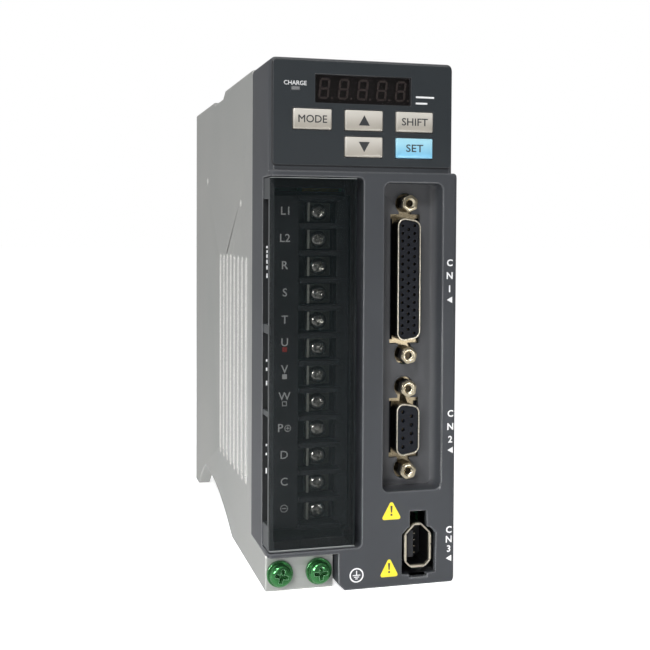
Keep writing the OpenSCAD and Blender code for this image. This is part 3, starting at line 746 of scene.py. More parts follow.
def lettering(words, x, y, z, height, width=None, bold=0.0):
    """Upright letters facing the front, centred on x with their feet at z, as a mesh in the frame."""
    curve = bpy.data.curves.new("words", "FONT")
    curve.body = words
    curve.align_x = "CENTER"
    curve.bevel_depth = bold
    curve.bevel_resolution = 0
    curve.resolution_u = 3
    curve.extrude = 0.01
    obj = bpy.data.objects.new("words", curve)
    scene.collection.objects.link(obj)
    bpy.context.view_layer.update()
    mesh = apply_modifiers(obj)
    low = [min(v.co[i] for v in mesh.vertices) for i in range(3)]
    high = [max(v.co[i] for v in mesh.vertices) for i in range(3)]
    tall = height / (high[1] - low[1])
    wide = width / (high[0] - low[0]) if width else tall
    drawing = bmesh.new()
    drawing.from_mesh(mesh)
    bmesh.ops.remove_doubles(drawing, verts=drawing.verts, dist=1e-5)
    middle_x = (low[0] + high[0]) / 2
    for v in drawing.verts:
        flat_x, flat_z = (v.co.x - middle_x) * wide, (v.co.y - low[1]) * tall
        v.co = Vector((x + flat_x, y - INK / 2 if v.co.z > 0 else y + INK / 2, z + flat_z))
    return to_mesh(drawing)


def mark(outline, y):
    """A printed flat shape from an (x, z) outline."""
    drawing = bmesh.new()
    prism(drawing, outline, y - INK / 2, y + INK / 2)
    return to_mesh(drawing)


def ring_mark(x, y, z, outer, inner, steps=32):
    """A printed ring."""
    drawing = bmesh.new()
    turns = [2 * math.pi * i / steps for i in range(steps)]
    loops = []
    for r, depth in ((outer, y - INK / 2), (outer, y + INK / 2), (inner, y + INK / 2), (inner, y - INK / 2)):
        loops.append([drawing.verts.new((x + r * math.cos(t), depth, z + r * math.sin(t))) for t in turns])
    bmesh.ops.recalc_face_normals(drawing, faces=bridge(drawing, loops + loops[:1]))
    return to_mesh(drawing)


def bar(x0, z0, x1, z1):
    """The outline of an upright rectangle."""
    return [(x0, z0), (x1, z0), (x1, z1), (x0, z1)]


print("ink is", INK, "mm thick")

# %% [markdown]
# ## Metal body and moulded shells
# The big parts have the right shape already, but a CAD edge is infinitely sharp and catches no light. Real
# castings and mouldings have small radii everywhere. A softened copy of each solid gets them from a bevel,
# and those thin bright lines, helped by a painted highlight along the edges in each finish, make a housing
# look moulded.

# %% Chassis, cover and side shell
FRONT_EDGES = ((-1, -1, -1), (61, 8, 163))
add_piece("metal_chassis", softened("heatsink_chassis", 0.5, 3), cast_metal, "housing", "cast_aluminium",
          "heatsink_chassis")


def painted_recess_light(tree, colour):
    """Paints the socket recess paler than the front round it: painted light on its deep floor and walls."""
    deep = group_node(tree, ramp, Front_mm=3.0, Back_mm=8.0).outputs["Share"]
    mask = math_node(tree, "MULTIPLY", deep, across(tree, 35.0, 35.6))
    return mix_colour(tree, mask, colour, (0.088, 0.090, 0.096))


# Painted light: the deep recess is coloured paler than the front.
repaint(housing_skin, painted_recess_light)
add_piece("moulded_cover", softened("front_cover", 0.35, 2, FRONT_EDGES), housing_skin, "housing",
          "housing_plastic", "front_cover")
add_piece("moulded_side_shell", softened("side_shell", 0.4, 2), shell_skin, "housing", "housing_plastic",
          "side_shell")

# %% [markdown]
# ## Keypad
# Under the display sits a printed film with a thin dark groove round it, and five keys come through it.
# Each cap is a shallow pillow with a crowned front. Its lacquer carries a painted gradient of the light from
# above, pale at the top and darker at the bottom, and a painted highlight round its face.

# %% Film and its groove
GROOVE_BACK, GROOVE_LIP = 0.42, 0.40
add_piece("keypad_film", softened("display_panel", 0.08, 1), panel_film, "housing", "panel_film",
          "display_panel")
film_low, film_high = span_mm("display_panel")
groove = bmesh.new()
ledge_y = film_low.y - 0.02
outer = rounded_outline(film_low.x - 0.55, film_low.z - 0.55, film_high.x + 0.15, film_high.z + 0.25, 1.6)
inner = rounded_outline(film_low.x, film_low.z, film_high.x - 0.25, film_high.z - 0.25, 1.25)
rings = [[groove.verts.new((x, y, z)) for x, z in ring] for ring, y in (
    (outer, ledge_y + GROOVE_BACK), (outer, ledge_y + GROOVE_LIP), (inner, ledge_y),
    (inner, ledge_y + GROOVE_BACK))]
bmesh.ops.recalc_face_normals(groove, faces=bridge(groove, rings + rings[:1]))
add_piece("keypad_film_edge", to_mesh(groove), black_plastic, "housing", "black_plastic")

# %% Key caps
KEY_RADIUS = 0.35
FACE_INSET, FACE_DROP = 0.65, 0.14
CAP_DEPTH, SKIRT = 3.4, 1.0
STEM_RADIUS, STEM_LENGTH, STEM_START = 1.5, 1.75, 0.9
CROWN = [(CAP_DEPTH, 0.0), (0.30, 0.0), (0.14, 0.06), (0.05, 0.16), (0.0, 0.34), (-0.06, 0.9), (-0.10, 1.6),
         (-0.13, 2.3), (-0.14, 2.9)]


def key_tone(name, pale, shade, rim):
    """A key's lacquer with painted light: pale above and painted shade below, with a painted highlight round
    its face.
    """
    made = finish(name, shade, shade, 0.34, 0.25, 0.18, 0.006, rim, 0.5, 8.0, coat=0.25)

    def painted_light_gradient(tree, colour):
        place = tree.nodes.new("ShaderNodeUVMap")
        place.uv_map = "face"
        axes = tree.nodes.new("ShaderNodeSeparateXYZ")
        tree.links.new(place.outputs["UV"], axes.inputs[0])
        height = tree.nodes.new("ShaderNodeMapRange")
        height.interpolation_type = "SMOOTHSTEP"
        height.inputs["From Min"].default_value = 0.05
        height.inputs["From Max"].default_value = 0.95
        tree.links.new(axes.outputs["Y"], height.inputs["Value"])
        return mix_colour(tree, height.outputs["Result"], colour, pale)

    repaint(made, painted_light_gradient)
    return made


# Painted light: each key's pale tone is its lit top, the darker tone painted shade, the rim a painted
# highlight.
silver_lacquer = key_tone("silver_lacquer", (0.70, 0.67, 0.61), (0.38, 0.35, 0.30), (1.0, 0.98, 0.92))
blue_lacquer = key_tone("blue_lacquer", (0.46, 0.82, 0.96), (0.20, 0.54, 0.78), (0.8, 0.97, 1.0))


def key_cap(node):
    """A crowned cap over a key's CAD cap, with a face UV map that runs from 0 to 1 across and up."""
    low, high = span_mm(node)
    wide, tall = high.x - low.x, high.z - low.z
    drawing = bmesh.new()
    outline = rounded_outline(low.x + FACE_INSET, low.z + FACE_INSET, high.x - FACE_INSET,
                              high.z - FACE_INSET, KEY_RADIUS)
    crown(drawing, outline, [(low.y + FACE_DROP + y, inset) for y, inset in CROWN])
    skirt = rounded_outline(low.x, low.z, high.x, high.z, KEY_RADIUS)
    prism(drawing, skirt, low.y + CAP_DEPTH, low.y + CAP_DEPTH + SKIRT)
    stem = ((low.x + high.x) / 2, low.y + CAP_DEPTH + STEM_START, (low.z + high.z) / 2)
    lathe(drawing, [(0, 0), (STEM_RADIUS, 0), (STEM_RADIUS, STEM_LENGTH), (0, STEM_LENGTH)], 20, stem)
    uv = drawing.loops.layers.uv.new("face")
    for face in drawing.faces:
        for loop in face.loops:
            loop[uv].uv = ((loop.vert.co.x - low.x) / wide, (loop.vert.co.z - low.z) / tall)
    return to_mesh(drawing, sharp=50.0)


LEGENDS = {"key_mode": ("MODE", 8.9), "key_shift": ("SHIFT", 8.5), "key_set": ("SET", 5.6)}
LEGEND_H, ARROW_HALF_W, ARROW_HALF_H = 2.3, 1.75, 1.55
KEYS = ["key_mode", "key_up", "key_down", "key_shift", "key_set"]
for key in KEYS:
    low, high = span_mm(key)
    centre_x, centre_z = (low.x + high.x) / 2, (low.z + high.z) / 2
    lacquer, slot = (blue_lacquer, "key_blue") if key == "key_set" else (silver_lacquer, "key_silver")
    add_piece(key + "_face", key_cap(key), lacquer, key + "_cap", slot, key)
    if key in LEGENDS:
        words, width = LEGENDS[key]
        print_mesh = lettering(words, centre_x, low.y, centre_z - LEGEND_H / 2, LEGEND_H, width, bold=0.009)
    else:
        tip = ARROW_HALF_H if key == "key_up" else -ARROW_HALF_H
        base_z = centre_z - tip
        print_mesh = mark([(centre_x - ARROW_HALF_W, base_z), (centre_x + ARROW_HALF_W, base_z),
                           (centre_x, centre_z + tip)], low.y)
    add_piece(key + "_legend", print_mesh, dark_ink, key + "_cap", slot)

# %% [markdown]
# ## Display
# The five digits are unlit: seven brown-grey bars each, behind a dark clear window. One digit is drawn
# once, with slanted bar ends and a decimal dot, and the row tree repeats it.

# %% Smoked windows
def smoked(name, tint, opacity, rough, rim):
    """A dark clear plastic: see-through and glossy, with a painted highlight on its upward rim, pale and
    opaque.
    """
    made = finish(name, tint, tuple(c * 1.3 for c in tint), rough, 0.0, 6.0, 0.0, None, drift_mm=40.0,
                  rough_swing=0.04, specular=0.5)
    tree = made.node_tree
    upward = turned_to(tree, "Z", 0.15, 0.6)
    repaint(made, lambda tree, colour: mix_colour(tree, upward, colour, rim))
    thick = tree.nodes.new("ShaderNodeMapRange")
    thick.inputs["To Min"].default_value = opacity
    tree.links.new(upward, thick.inputs["Value"])
    tree.links.new(thick.outputs["Result"], tree.nodes["Principled BSDF"].inputs["Alpha"])
    return made


# The rim tones are painted highlights on the panes' upward edges.
display_glass = smoked("display_glass", (0.010, 0.008, 0.008), 0.22, 0.10, (0.03, 0.03, 0.03))
door_glass = smoked("door_glass", (0.008, 0.012, 0.013), 0.30, 0.06, (0.60, 0.63, 0.62))
window_low, window_high = span_mm("display_window")
pane = bmesh.new()
crown(pane, rounded_outline(window_low.x, window_low.z, window_high.x, window_high.z, 0.3),
      [(window_low.y + 0.9, 0.0), (window_low.y + 0.12, 0.0), (window_low.y + 0.04, 0.05),
       (window_low.y, 0.14)])
add_piece("display_pane", to_mesh(pane), display_glass, "housing", "smoked_plastic", "display_window")
display_black = finish("display_black", (0.006, 0.005, 0.005), (0.010, 0.008, 0.008), 0.4, 0.0, 0.3, 0.01)
add_piece("display_block", softened("led_display", 0.15, 2), display_black, "housing", "display_body",
          "led_display")

# %% Digits
DIGIT_COUNT = 5
DIGIT_W, DIGIT_H, BAR_T, DIGIT_PITCH = 3.3, 6.3, 0.62, 6.1
BAR_GAP, BAR_HALF_DEPTH, DOT_R = 0.09, 0.05, 0.36
SLANT = math.tan(math.radians(6))


def digit():
    """One seven-bar digit with its dot, centred on the origin, in millimetres."""
    drawing = bmesh.new()
    half_w, half_h, t, gap = DIGIT_W / 2, DIGIT_H / 2, BAR_T / 2, BAR_GAP

    def segment(a, b):
        """A bar from a to b with pointed ends."""
        (ax, az), (bx, bz) = a, b
        if az == bz:
            points = [(ax + gap, az), (ax + gap + t, az + t), (bx - gap - t, az + t), (bx - gap, az),
                      (bx - gap - t, az - t), (ax + gap + t, az - t)]
        else:
            points = [(ax, az + gap), (ax + t, az + gap + t), (ax + t, bz - gap - t), (ax, bz - gap),
                      (ax - t, bz - gap - t), (ax - t, az + gap + t)]
        prism(drawing, [(x + z * SLANT, z) for x, z in points], -BAR_HALF_DEPTH, BAR_HALF_DEPTH)

    w, h = half_w - t, half_h - t
    for z in (-h, 0, h):
        segment((-w, z), (w, z))
    for x in (-w, w):
        segment((x, -h), (x, 0))
        segment((x, 0), (x, h))
    dot_x, dot_z = half_w + 0.75, -half_h + 0.35
    ring = [(dot_x + DOT_R * math.cos(a), dot_z + DOT_R * math.sin(a))
            for a in (2 * math.pi * i / 12 for i in range(12))]
    prism(drawing, ring, -BAR_HALF_DEPTH, BAR_HALF_DEPTH)
    return to_mesh(drawing, in_frame=False)


digit_z = (window_low.z + window_high.z) / 2 + 0.2
first_digit = (window_low.x + 3.2, window_high.y - 1.0, digit_z)
add_piece("display_digits", row_of(digit(), DIGIT_COUNT, first_digit, (DIGIT_PITCH, 0, 0), segment_tone),
          segment_tone, "housing", "display_body")

# %% Charge lamp and panel print
add_piece("charge_lens", softened("charge_led", 0.12, 2), lamp_lens, "housing", "charge_lens", "charge_led")
PANEL_Y = film_low.y - 0.005
panel_print = [lettering("CHARGE", 7.95, PANEL_Y, 153.75, 1.3, 7.0, bold=0.003)]
RATING_BARS = [(46.2, 151.2, 52.2), (46.2, 149.3, 50.0)]
RATING_BAR_H = 0.55
for x0, z0, x1 in RATING_BARS:
    panel_print.append(mark(bar(x0, z0, x1, z0 + RATING_BAR_H), PANEL_Y))
add_piece("panel_print", joined(*panel_print), white_ink, "housing", "panel_film")

# %% [markdown]
# ## Terminals
# Twelve clamp screws stand in a black block behind the door. A screw head is a turned form: a low dome
# with a rolled rim. A tapered cross is cut into it, because light sparkling in the recess is what tells
# the eye that it is a screw. The row tree sets all twelve, each stopped at its own angle.


# %% A cross-recessed pan head
def pan_head(radius, height, shank, shank_length, recess, depth):
    """A screw along y with its head's front at 0, in millimetres."""
    head = bmesh.new()
    dome = [(0.0, 0.0), (0.35, 0.01), (0.62, 0.06), (0.80, 0.16), (0.92, 0.32), (0.98, 0.50), (1.0, 0.66),
            (1.0, 0.94), (0.96, 1.0)]
    profile = [(radius * r, height * y) for r, y in dome]
    profile += [(shank, height), (shank, height + shank_length), (0, height + shank_length)]
    lathe(head, profile, 32)
    arm, half = recess / 2, recess * 0.13
    cross = [(half, half), (half, arm), (-half, arm), (-half, half), (-arm, half), (-arm, -half),
             (-half, -half), (-half, -arm), (half, -arm), (half, -half), (arm, -half), (arm, half)]
    drill = bmesh.new()
    crown(drill, cross, [(depth, arm * 0.62), (-0.2, 0.0)])
    return cut_away(to_mesh(head, in_frame=False), to_mesh(drill, in_frame=False))


def smooth_edges(mesh):
    """Shades a finished mesh smooth except across sharp edges."""
    mesh.shade_smooth()
    mesh.set_sharp_from_angle(angle=math.radians(35.0))
    return mesh


screw_low, screw_high = span_mm("terminal_screws")
HEAD_R = (screw_high.x - screw_low.x) / 2
TERMINALS = 12
first_z = screw_high.z - HEAD_R
pitch_z = (first_z - screw_low.z - HEAD_R) / (TERMINALS - 1)
screw_x = (screw_low.x + screw_high.x) / 2
terminal_screw = smooth_edges(pan_head(HEAD_R, 2.0, 1.5, 7.0, 3.5, 1.35))
add_piece("terminal_screw_row",
          row_of(terminal_screw, TERMINALS, (screw_x, screw_low.y, first_z), (0, 0, -pitch_z),
                 bright_nickel, turn=math.radians(40), seed=4),
          bright_nickel, "housing", "bright_steel", "terminal_screws")
print("terminal pitch", round(pitch_z, 2), "mm")

# %% Clamp plates
CLAMP_HALF_H, LIP_W, LIP_REACH, RIB_Z = 3.0, 0.85, 2.8, 2.2
clamp_low, clamp_high = span_mm("terminal_clamps")


def clamp_plate():
    """A square clamp with a folded left lip and two pressed ribs, centred on its screw."""
    drawing = bmesh.new()
    left, right = clamp_low.x - screw_x, clamp_high.x - screw_x
    back = clamp_high.y - screw_low.y
    crown(drawing, rounded_outline(left, -CLAMP_HALF_H, right, CLAMP_HALF_H, 0.4),
          [(back, 0.0), (back - 0.85, 0.0), (back - 1.0, 0.12)])
    crown(drawing, rounded_outline(left, -CLAMP_HALF_H, left + LIP_W, CLAMP_HALF_H, 0.2),
          [(back, 0.0), (back - LIP_REACH + 0.15, 0.0), (back - LIP_REACH, 0.1)])
    for z in (-RIB_Z, RIB_Z):
        crown(drawing, rounded_outline(left + 1.4, z - 0.3, right - 0.5, z + 0.3, 0.25),
              [(back - 0.9, 0.0), (back - 1.15, 0.0), (back - 1.3, 0.15)])
    return to_mesh(drawing, in_frame=False)


clamp_steel = finish("clamp_steel", (0.40, 0.42, 0.37), (0.52, 0.54, 0.48), 0.35, 0.9, 0.5, 0.02,
                     (0.75, 0.76, 0.7), 0.25)
# Painted shade: the clamp plate is painted dark beside its lighter left lip.
LIP_END = clamp_low.x + 0.9
repaint(clamp_steel, lambda tree, colour: mix_colour(tree, across(tree, LIP_END, LIP_END + 0.3), colour,
                                                     (0.13, 0.14, 0.12)))
add_piece("terminal_clamp_row",
          row_of(clamp_plate(), TERMINALS, (screw_x, screw_low.y, first_z), (0, 0, -pitch_z), clamp_steel),
          clamp_steel, "housing", "bright_steel", "terminal_clamps")

# %% Terminal block and its lettered strip
add_piece("terminal_housing", softened("terminal_block", 0.2, 2), black_plastic, "housing", "black_plastic",
          "terminal_block")
nodes["terminal_label"].data.materials.clear()
nodes["terminal_label"].data.materials.append(black_plastic)
STRIP_Y = span_mm("terminal_label")[0].y - 0.005
LETTER_X, LETTER_H, LETTER_PITCH, LETTER_RISE = 7.15, 2.5, pitch_z - 0.13, 0.3
PHASE_RISE, PHASE_DROP, PLUS_ROOM = 1.4, 0.9, 1.2
SQUARE_HALF, LINE_T = 0.75, 0.25
NAMES = ["L1", "L2", "R", "S", "T", "U", "V", "W", "P", "D", "C"]
name_z = [first_z + LETTER_RISE - i * LETTER_PITCH for i in range(TERMINALS)]
letters = []
for name, z in zip(NAMES, name_z):
    rise = PHASE_RISE if name in "UVW" else 0.0
    x = LETTER_X - PLUS_ROOM if name == "P" else LETTER_X
    letters.append(lettering(name, x, STRIP_Y, z + rise - LETTER_H / 2, LETTER_H, bold=0.006))


def square_at(x, z, half):
    """The outline of a square about a point."""
    return bar(x - half, z - half, x + half, z + half)


red_z, full_z, hollow_z = (name_z[NAMES.index(name)] - PHASE_DROP for name in "UVW")
red_mark = mark(square_at(LETTER_X, red_z, SQUARE_HALF), STRIP_Y)
letters.append(mark(square_at(LETTER_X, full_z, SQUARE_HALF), STRIP_Y))
for a, b in ((SQUARE_HALF - LINE_T, SQUARE_HALF), (-SQUARE_HALF, LINE_T - SQUARE_HALF)):
    across_it = bar(LETTER_X - SQUARE_HALF, hollow_z + a, LETTER_X + SQUARE_HALF, hollow_z + b)
    upright = bar(LETTER_X + a, hollow_z - SQUARE_HALF, LETTER_X + b, hollow_z + SQUARE_HALF)
    letters += [mark(across_it, STRIP_Y), mark(upright, STRIP_Y)]
plus_z, minus_z = name_z[NAMES.index("P")], name_z[-1]
letters.append(ring_mark(LETTER_X + 1.1, STRIP_Y, plus_z - 0.2, 1.05, 0.85))
letters.append(mark(bar(LETTER_X + 0.5, plus_z - 0.3, LETTER_X + 1.7, plus_z - 0.1), STRIP_Y))
letters.append(mark(bar(LETTER_X + 1.0, plus_z - 0.8, LETTER_X + 1.2, plus_z + 0.4), STRIP_Y - 0.002))
letters.append(ring_mark(LETTER_X, STRIP_Y, minus_z, 1.2, 1.0))
letters.append(mark(bar(LETTER_X - 0.7, minus_z - 0.12, LETTER_X + 0.7, minus_z + 0.12), STRIP_Y))
add_piece("terminal_letters", joined(*letters), dim_ink, "housing", "black_plastic")
add_piece("terminal_phase_mark", joined(red_mark), red_ink, "housing", "black_plastic")

# %% [markdown]
# ## Door over the terminals
# The door is one moulding: a grey wing with three wire slots and a dark clear front. The front has real
# thickness and rounded edges, and a painted highlight along its top rim, because the bright line along
# its rim is what shows that it is clear.

# %% Door
door_grey = finish("door_grey", (0.032, 0.036, 0.039), (0.040, 0.045, 0.048), 0.45, 0.0, 0.25, 0.02,
                   (0.2, 0.21, 0.21), 0.3)
WING_EDGE = 2.0
repaint(door_grey, lambda tree, colour: mix_colour(tree, across(tree, WING_EDGE, WING_EDGE + 0.2), colour,
                                                   (0.006, 0.007, 0.008)))
add_piece("door_wing", softened("door_frame", 0.15, 2), door_grey, "terminal_door", "housing_plastic",
          "door_frame")
add_piece("door_pane", softened("door_window", 0.25, 3), door_glass, "terminal_door", "smoked_plastic",
          "door_window")
nodes["hinge_pins"].data.materials.clear()
nodes["hinge_pins"].data.materials.append(bright_nickel)

# %% Dark floor behind the wire slots, with printed ticks at (height, half length)
LINER_Y = 9.86
WIRE_SLOTS = [(20.0, 54.1), (54.9, 79.3), (81.2, 120.2)]
TICKS = [(96.3, 0.7), (98.8, 0.6), (100.6, 0.6), (102.3, 0.55), (103.7, 0.4), (105.1, 0.35), (70.2, 0.4),
         (67.5, 0.5), (63.2, 0.7), (44.0, 0.35), (41.2, 0.35), (36.0, 0.85)]
slot_black = finish("slot_black", (0.004, 0.005, 0.006), (0.006, 0.007, 0.008), 0.6, 0.0, 0.3, 0.01)
liner = bmesh.new()
for z0, z1 in WIRE_SLOTS:
    prism(liner, rounded_outline(0.12, z0, WING_EDGE, z1, 0.3, 3), LINER_Y, LINER_Y + 0.3)
add_piece("wire_slot_liner", to_mesh(liner), slot_black, "housing", "black_plastic")
ticks = [mark(bar(1.15, z - half, 1.6, z + half), LINER_Y - 0.02) for z, half in TICKS]
add_piece("wire_slot_ticks", joined(*ticks), white_ink, "housing", "black_plastic")

# %% [markdown]
# ## Sockets
# The two D-shaped sockets have thin pressed shells: pale nickel where the rim catches light, darkened by
# painted shade to golden brown on the flange deep in the recess and to near black down the long sides. A
# ramp along the depth carries that painted shade. Contacts are small sprung tubes set back in their holes,
# row by row.

# %% Shell finish and shells
dsub_plate = finish("dsub_plate", (0.80, 0.72, 0.56), (0.92, 0.86, 0.72), 0.28, 0.9, 0.4, 0.012,
                    (1.0, 0.97, 0.88), 0.2)


def painted_shade_behind(tree, colour):
    """Painted shade: golden brown on the flange, the given colour at the rim, near black down the long sides.
    """
    share = group_node(tree, ramp, Front_mm=3.6, Back_mm=8.0).outputs["Share"]
    sides = group_node(tree, ramp, Front_mm=4.3, Back_mm=4.9).outputs["Share"]
    # Painted shade on the long sides of the shell.
    painted_side_shade = math_node(tree, "MULTIPLY", sides, turned_to(tree, "X", 0.3, 0.75))
    return mix_colour(tree, painted_side_shade, mix_colour(tree, share, colour, (0.46, 0.38, 0.25)), (0.010, 0.009, 0.008))


repaint(dsub_plate, painted_shade_behind)
for node in ("io_shell", "encoder_shell"):
    add_piece(node + "_plate", softened(node, 0.16, 2), dsub_plate, "housing", "gold_nickel", node)
for node in ("io_insulator", "encoder_insulator"):
    add_piece(node + "_body", softened(node, 0.08, 1), socket_plastic, "housing", "black_plastic", node)


# %% Contacts
CONTACT_LENGTH, CONTACT_SET_BACK = 3.0, 1.5


def contact(outer):
    """A short tube along y, closed at its back, in millimetres."""
    inner, floor_y = outer * 0.6, CONTACT_LENGTH * 0.8
    drawing = bmesh.new()
    profile = [(0, CONTACT_LENGTH), (outer, CONTACT_LENGTH), (outer, 0.06), (outer - 0.05, 0), (inner, 0),
               (inner, floor_y), (0, floor_y)]
    lathe(drawing, profile, 12)
    return to_mesh(drawing, in_frame=False)


def contact_rows(name, node, rows, pitch, radius):
    """The contacts of one socket: each row is (sideways place, count)."""
    low, high = span_mm(node)
    centre_z = (low.z + high.z) / 2
    made = []
    for side, count in rows:
        start = (post_x + side, low.y + CONTACT_SET_BACK, centre_z - (count - 1) / 2 * pitch)
        made.append(row_of(contact(radius), count, start, (0, 0, pitch), brown_gold))
    add_piece(name, joined(*made), brown_gold, "housing", "gold_nickel")


post_low, post_high = span_mm("jack_sockets")
post_x = (post_low.x + post_high.x) / 2
contact_rows("io_contacts", "io_insulator", [(-1.98, 15), (0, 14), (1.98, 15)], 2.41, 0.42)
contact_rows("encoder_contacts", "encoder_insulator", [(-1.42, 5), (1.42, 4)], 2.77, 0.5)


# %% Jack posts
POST_DEPTH = 6.4
POST_SPACING = {"io_shell": 47.6, "encoder_shell": 26.0}


def jack_post():
    """A rounded hexagon post with a countersunk, threaded bore; its front is at 0, in millimetres."""
    steps, flat, corner = 48, 2.5, 2.72
    turns = [2 * math.pi * i / steps for i in range(steps)]

    def hexagon(t, inset):
        sector = (t + math.pi / 6) % (math.pi / 3) - math.pi / 6
        return min(corner, flat / math.cos(sector)) - inset

    drawing = bmesh.new()
    loops = []

    def add_loop(radius_at, y):
        points = [(radius_at(t) * math.cos(t), y, radius_at(t) * math.sin(t)) for t in turns]
        loops.append([drawing.verts.new(point) for point in points])

    for y, inset in ((POST_DEPTH, 0.0), (0.34, 0.0), (0.12, 0.14), (0.0, 0.42)):
        add_loop(lambda t, inset=inset: hexagon(t, inset), y)
    bore = [(1.62, 0.0), (1.30, 0.34)]
    bore += [(1.28 if i % 2 else 1.08, 0.5 + 0.2 * i) for i in range(6)]
    for r, y in bore:
        add_loop(lambda t, r=r: r, y)
    faces = [drawing.faces.new(loops[0]), drawing.faces.new(loops[-1])] + bridge(drawing, loops)
    bmesh.ops.recalc_face_normals(drawing, faces=faces)
    return to_mesh(drawing, in_frame=False, sharp=30.0)


post_plate = finish("post_plate", (0.74, 0.64, 0.44), (0.88, 0.79, 0.60), 0.24, 1.0, 0.5, 0.01,
                    (1.0, 0.95, 0.82), 0.25)
# Painted shade: the posts darken to near black brown behind their front, down in their holes.
repaint(post_plate, lambda tree, colour: mix_colour(
    tree, group_node(tree, ramp, Front_mm=3.9, Back_mm=5.2).outputs["Share"], colour, (0.03, 0.023, 0.014)))
posts = []
for shell_node, spacing in POST_SPACING.items():
    low, high = span_mm(shell_node)
    start = (post_x, post_low.y, (low.z + high.z) / 2 - spacing / 2)
    posts.append(row_of(jack_post(), 2, start, (0, 0, spacing), post_plate, turn=0.35, seed=3))
add_piece("jack_posts", joined(*posts), post_plate, "housing", "gold_nickel", "jack_sockets")

# %% Serial socket
serial_plate = finish("serial_plate", (0.62, 0.57, 0.44), (0.76, 0.70, 0.56), 0.32, 0.85, 0.4, 0.015,
                      (1.0, 0.98, 0.9), 0.25)
# Painted shade: the sleeve darkens to near black deeper into the socket.
repaint(serial_plate, lambda tree, colour: mix_colour(
    tree, group_node(tree, ramp, Front_mm=0.9, Back_mm=2.6).outputs["Share"], colour, (0.022, 0.023, 0.024)))
add_piece("serial_sleeve", softened("serial_shell", 0.15, 2), serial_plate, "housing", "gold_nickel",
          "serial_shell")
sleeve_low, sleeve_high = span_mm("serial_shell")
mid_z = (sleeve_low.z + sleeve_high.z) / 2
OUT, IN, LOW_CORNER, TOP_CORNER, SEAM = 0.35, 0.55, 1.9, 3.3, 0.1
left_out, left_in = sleeve_low.x - OUT, sleeve_low.x + IN
right_in, right_out = sleeve_high.x - IN, sleeve_high.x + OUT
foot_z, head_z = sleeve_low.z + LOW_CORNER, sleeve_high.z - TOP_CORNER
lip_boxes = [(left_out, foot_z, left_in, head_z), (right_in, foot_z, right_out, mid_z - SEAM),
             (right_in, mid_z + SEAM, right_out, head_z),
             (sleeve_low.x + LOW_CORNER, sleeve_low.z - OUT, sleeve_high.x - LOW_CORNER, sleeve_low.z + IN),
             (sleeve_low.x + TOP_CORNER, sleeve_high.z - IN, sleeve_high.x - TOP_CORNER, sleeve_high.z + OUT)]
lip_rings = [(sleeve_low.y + y, inset) for y, inset in ((1.6, 0.3), (0.4, 0.0), (0.0, 0.1), (-0.12, 0.28))]
lips = bmesh.new()
for box in lip_boxes:
    crown(lips, rounded_outline(*box, 0.2, 3), lip_rings)
add_piece("serial_lips", to_mesh(lips), serial_plate, "housing", "gold_nickel")
add_piece("serial_tongue", softened("serial_insulator", 0.12, 2), black_plastic, "housing", "black_plastic",
          "serial_insulator")
tongue = bmesh.new()
crown(tongue, rounded_outline(-0.35, -0.28, 0.35, 0.28, 0.1, 3), [(5.6, 0.0), (0.4, 0.0), (0.0, 0.2)])
first_contact = (sleeve_low.x + 3.75, span_mm("serial_insulator")[0].y + 0.6, mid_z - 3.0)
serial_row = row_of(to_mesh(tongue, in_frame=False), 4, first_contact, (0, 0, 2.0), post_plate)
add_piece("serial_contacts", serial_row, post_plate, "housing", "gold_nickel")

# %% [markdown]
# ## Earth screws
# Two green plated screws with broad washers hold the earth wires on the bare metal block. They are the
# same pan head as the terminals, one size up.

# %% Earth screws and washers
earth_low, earth_high = span_mm("earth_screws")
EARTH_R = (earth_high.z - earth_low.z) / 2
earth_z = (earth_high.z + earth_low.z) / 2
earth_screw = smooth_edges(pan_head(EARTH_R, 2.6, 2.0, 12.2, 4.7, 1.8))
add_piece("earth_screw_pair",
          row_of(earth_screw, 2, (earth_low.x + EARTH_R, earth_low.y, earth_z),
                 (earth_high.x - earth_low.x - 2 * EARTH_R, 0, 0), green_plate, turn=0.5, seed=7),
          green_plate, "housing", "green_plated", "earth_screws")
add_piece("earth_washer_pair", softened("earth_washers", 0.22, 3), green_plate, "housing", "green_plated",
          "earth_washers")

# %% [markdown]
# ## Marks on the cover
# Socket numbers run down the right edge with a small arrow each. Two yellow signs and the earth sign are
# kept in a plain generic form.

# %% Cover print
FACE_Y = -0.005
NUMBER_H = 2.15
ARROW_HALF_X, ARROW_HALF_Z = 0.9, 1.0
# Each socket number is (letters, x, heights of the letters and of the arrow under them).
SOCKET_NUMBERS = [("CN1", 57.45, (99.35, 95.35, 91.25, 88.85)), ("CN2", 58.1, (52.15, 48.05, 44.05, 41.7)),
                  ("CN3", 57.9, (15.5, 12.5, 9.5, 7.55))]
ink = []
for digits, x, rows_z in SOCKET_NUMBERS:
    for letter, z in zip(digits, rows_z):
        ink.append(lettering(letter, x, FACE_Y, z, NUMBER_H, bold=0.024))
    z = rows_z[-1]
    back_x = x + ARROW_HALF_X
    ink.append(mark([(x - ARROW_HALF_X, z), (back_x, z - ARROW_HALF_Z), (back_x, z + ARROW_HALF_Z)], FACE_Y))
EARTH_X, EARTH_Z, EARTH_LINE = 27.7, 4.5, 0.14
ink.append(ring_mark(EARTH_X, FACE_Y, EARTH_Z, 2.25, 1.85, 40))
ink.append(mark(bar(EARTH_X - 0.16, EARTH_Z, EARTH_X + 0.16, EARTH_Z + 1.4), FACE_Y))
for half, drop in ((1.2, 0.0), (0.8, 0.55), (0.4, 1.1)):
    z = EARTH_Z - drop
    line = bar(EARTH_X - half, z - EARTH_LINE, EARTH_X + half, z + EARTH_LINE)
    ink.append(mark(line, FACE_Y - 0.002))
add_piece("cover_print", joined(*ink), white_ink, "housing", "housing_plastic")


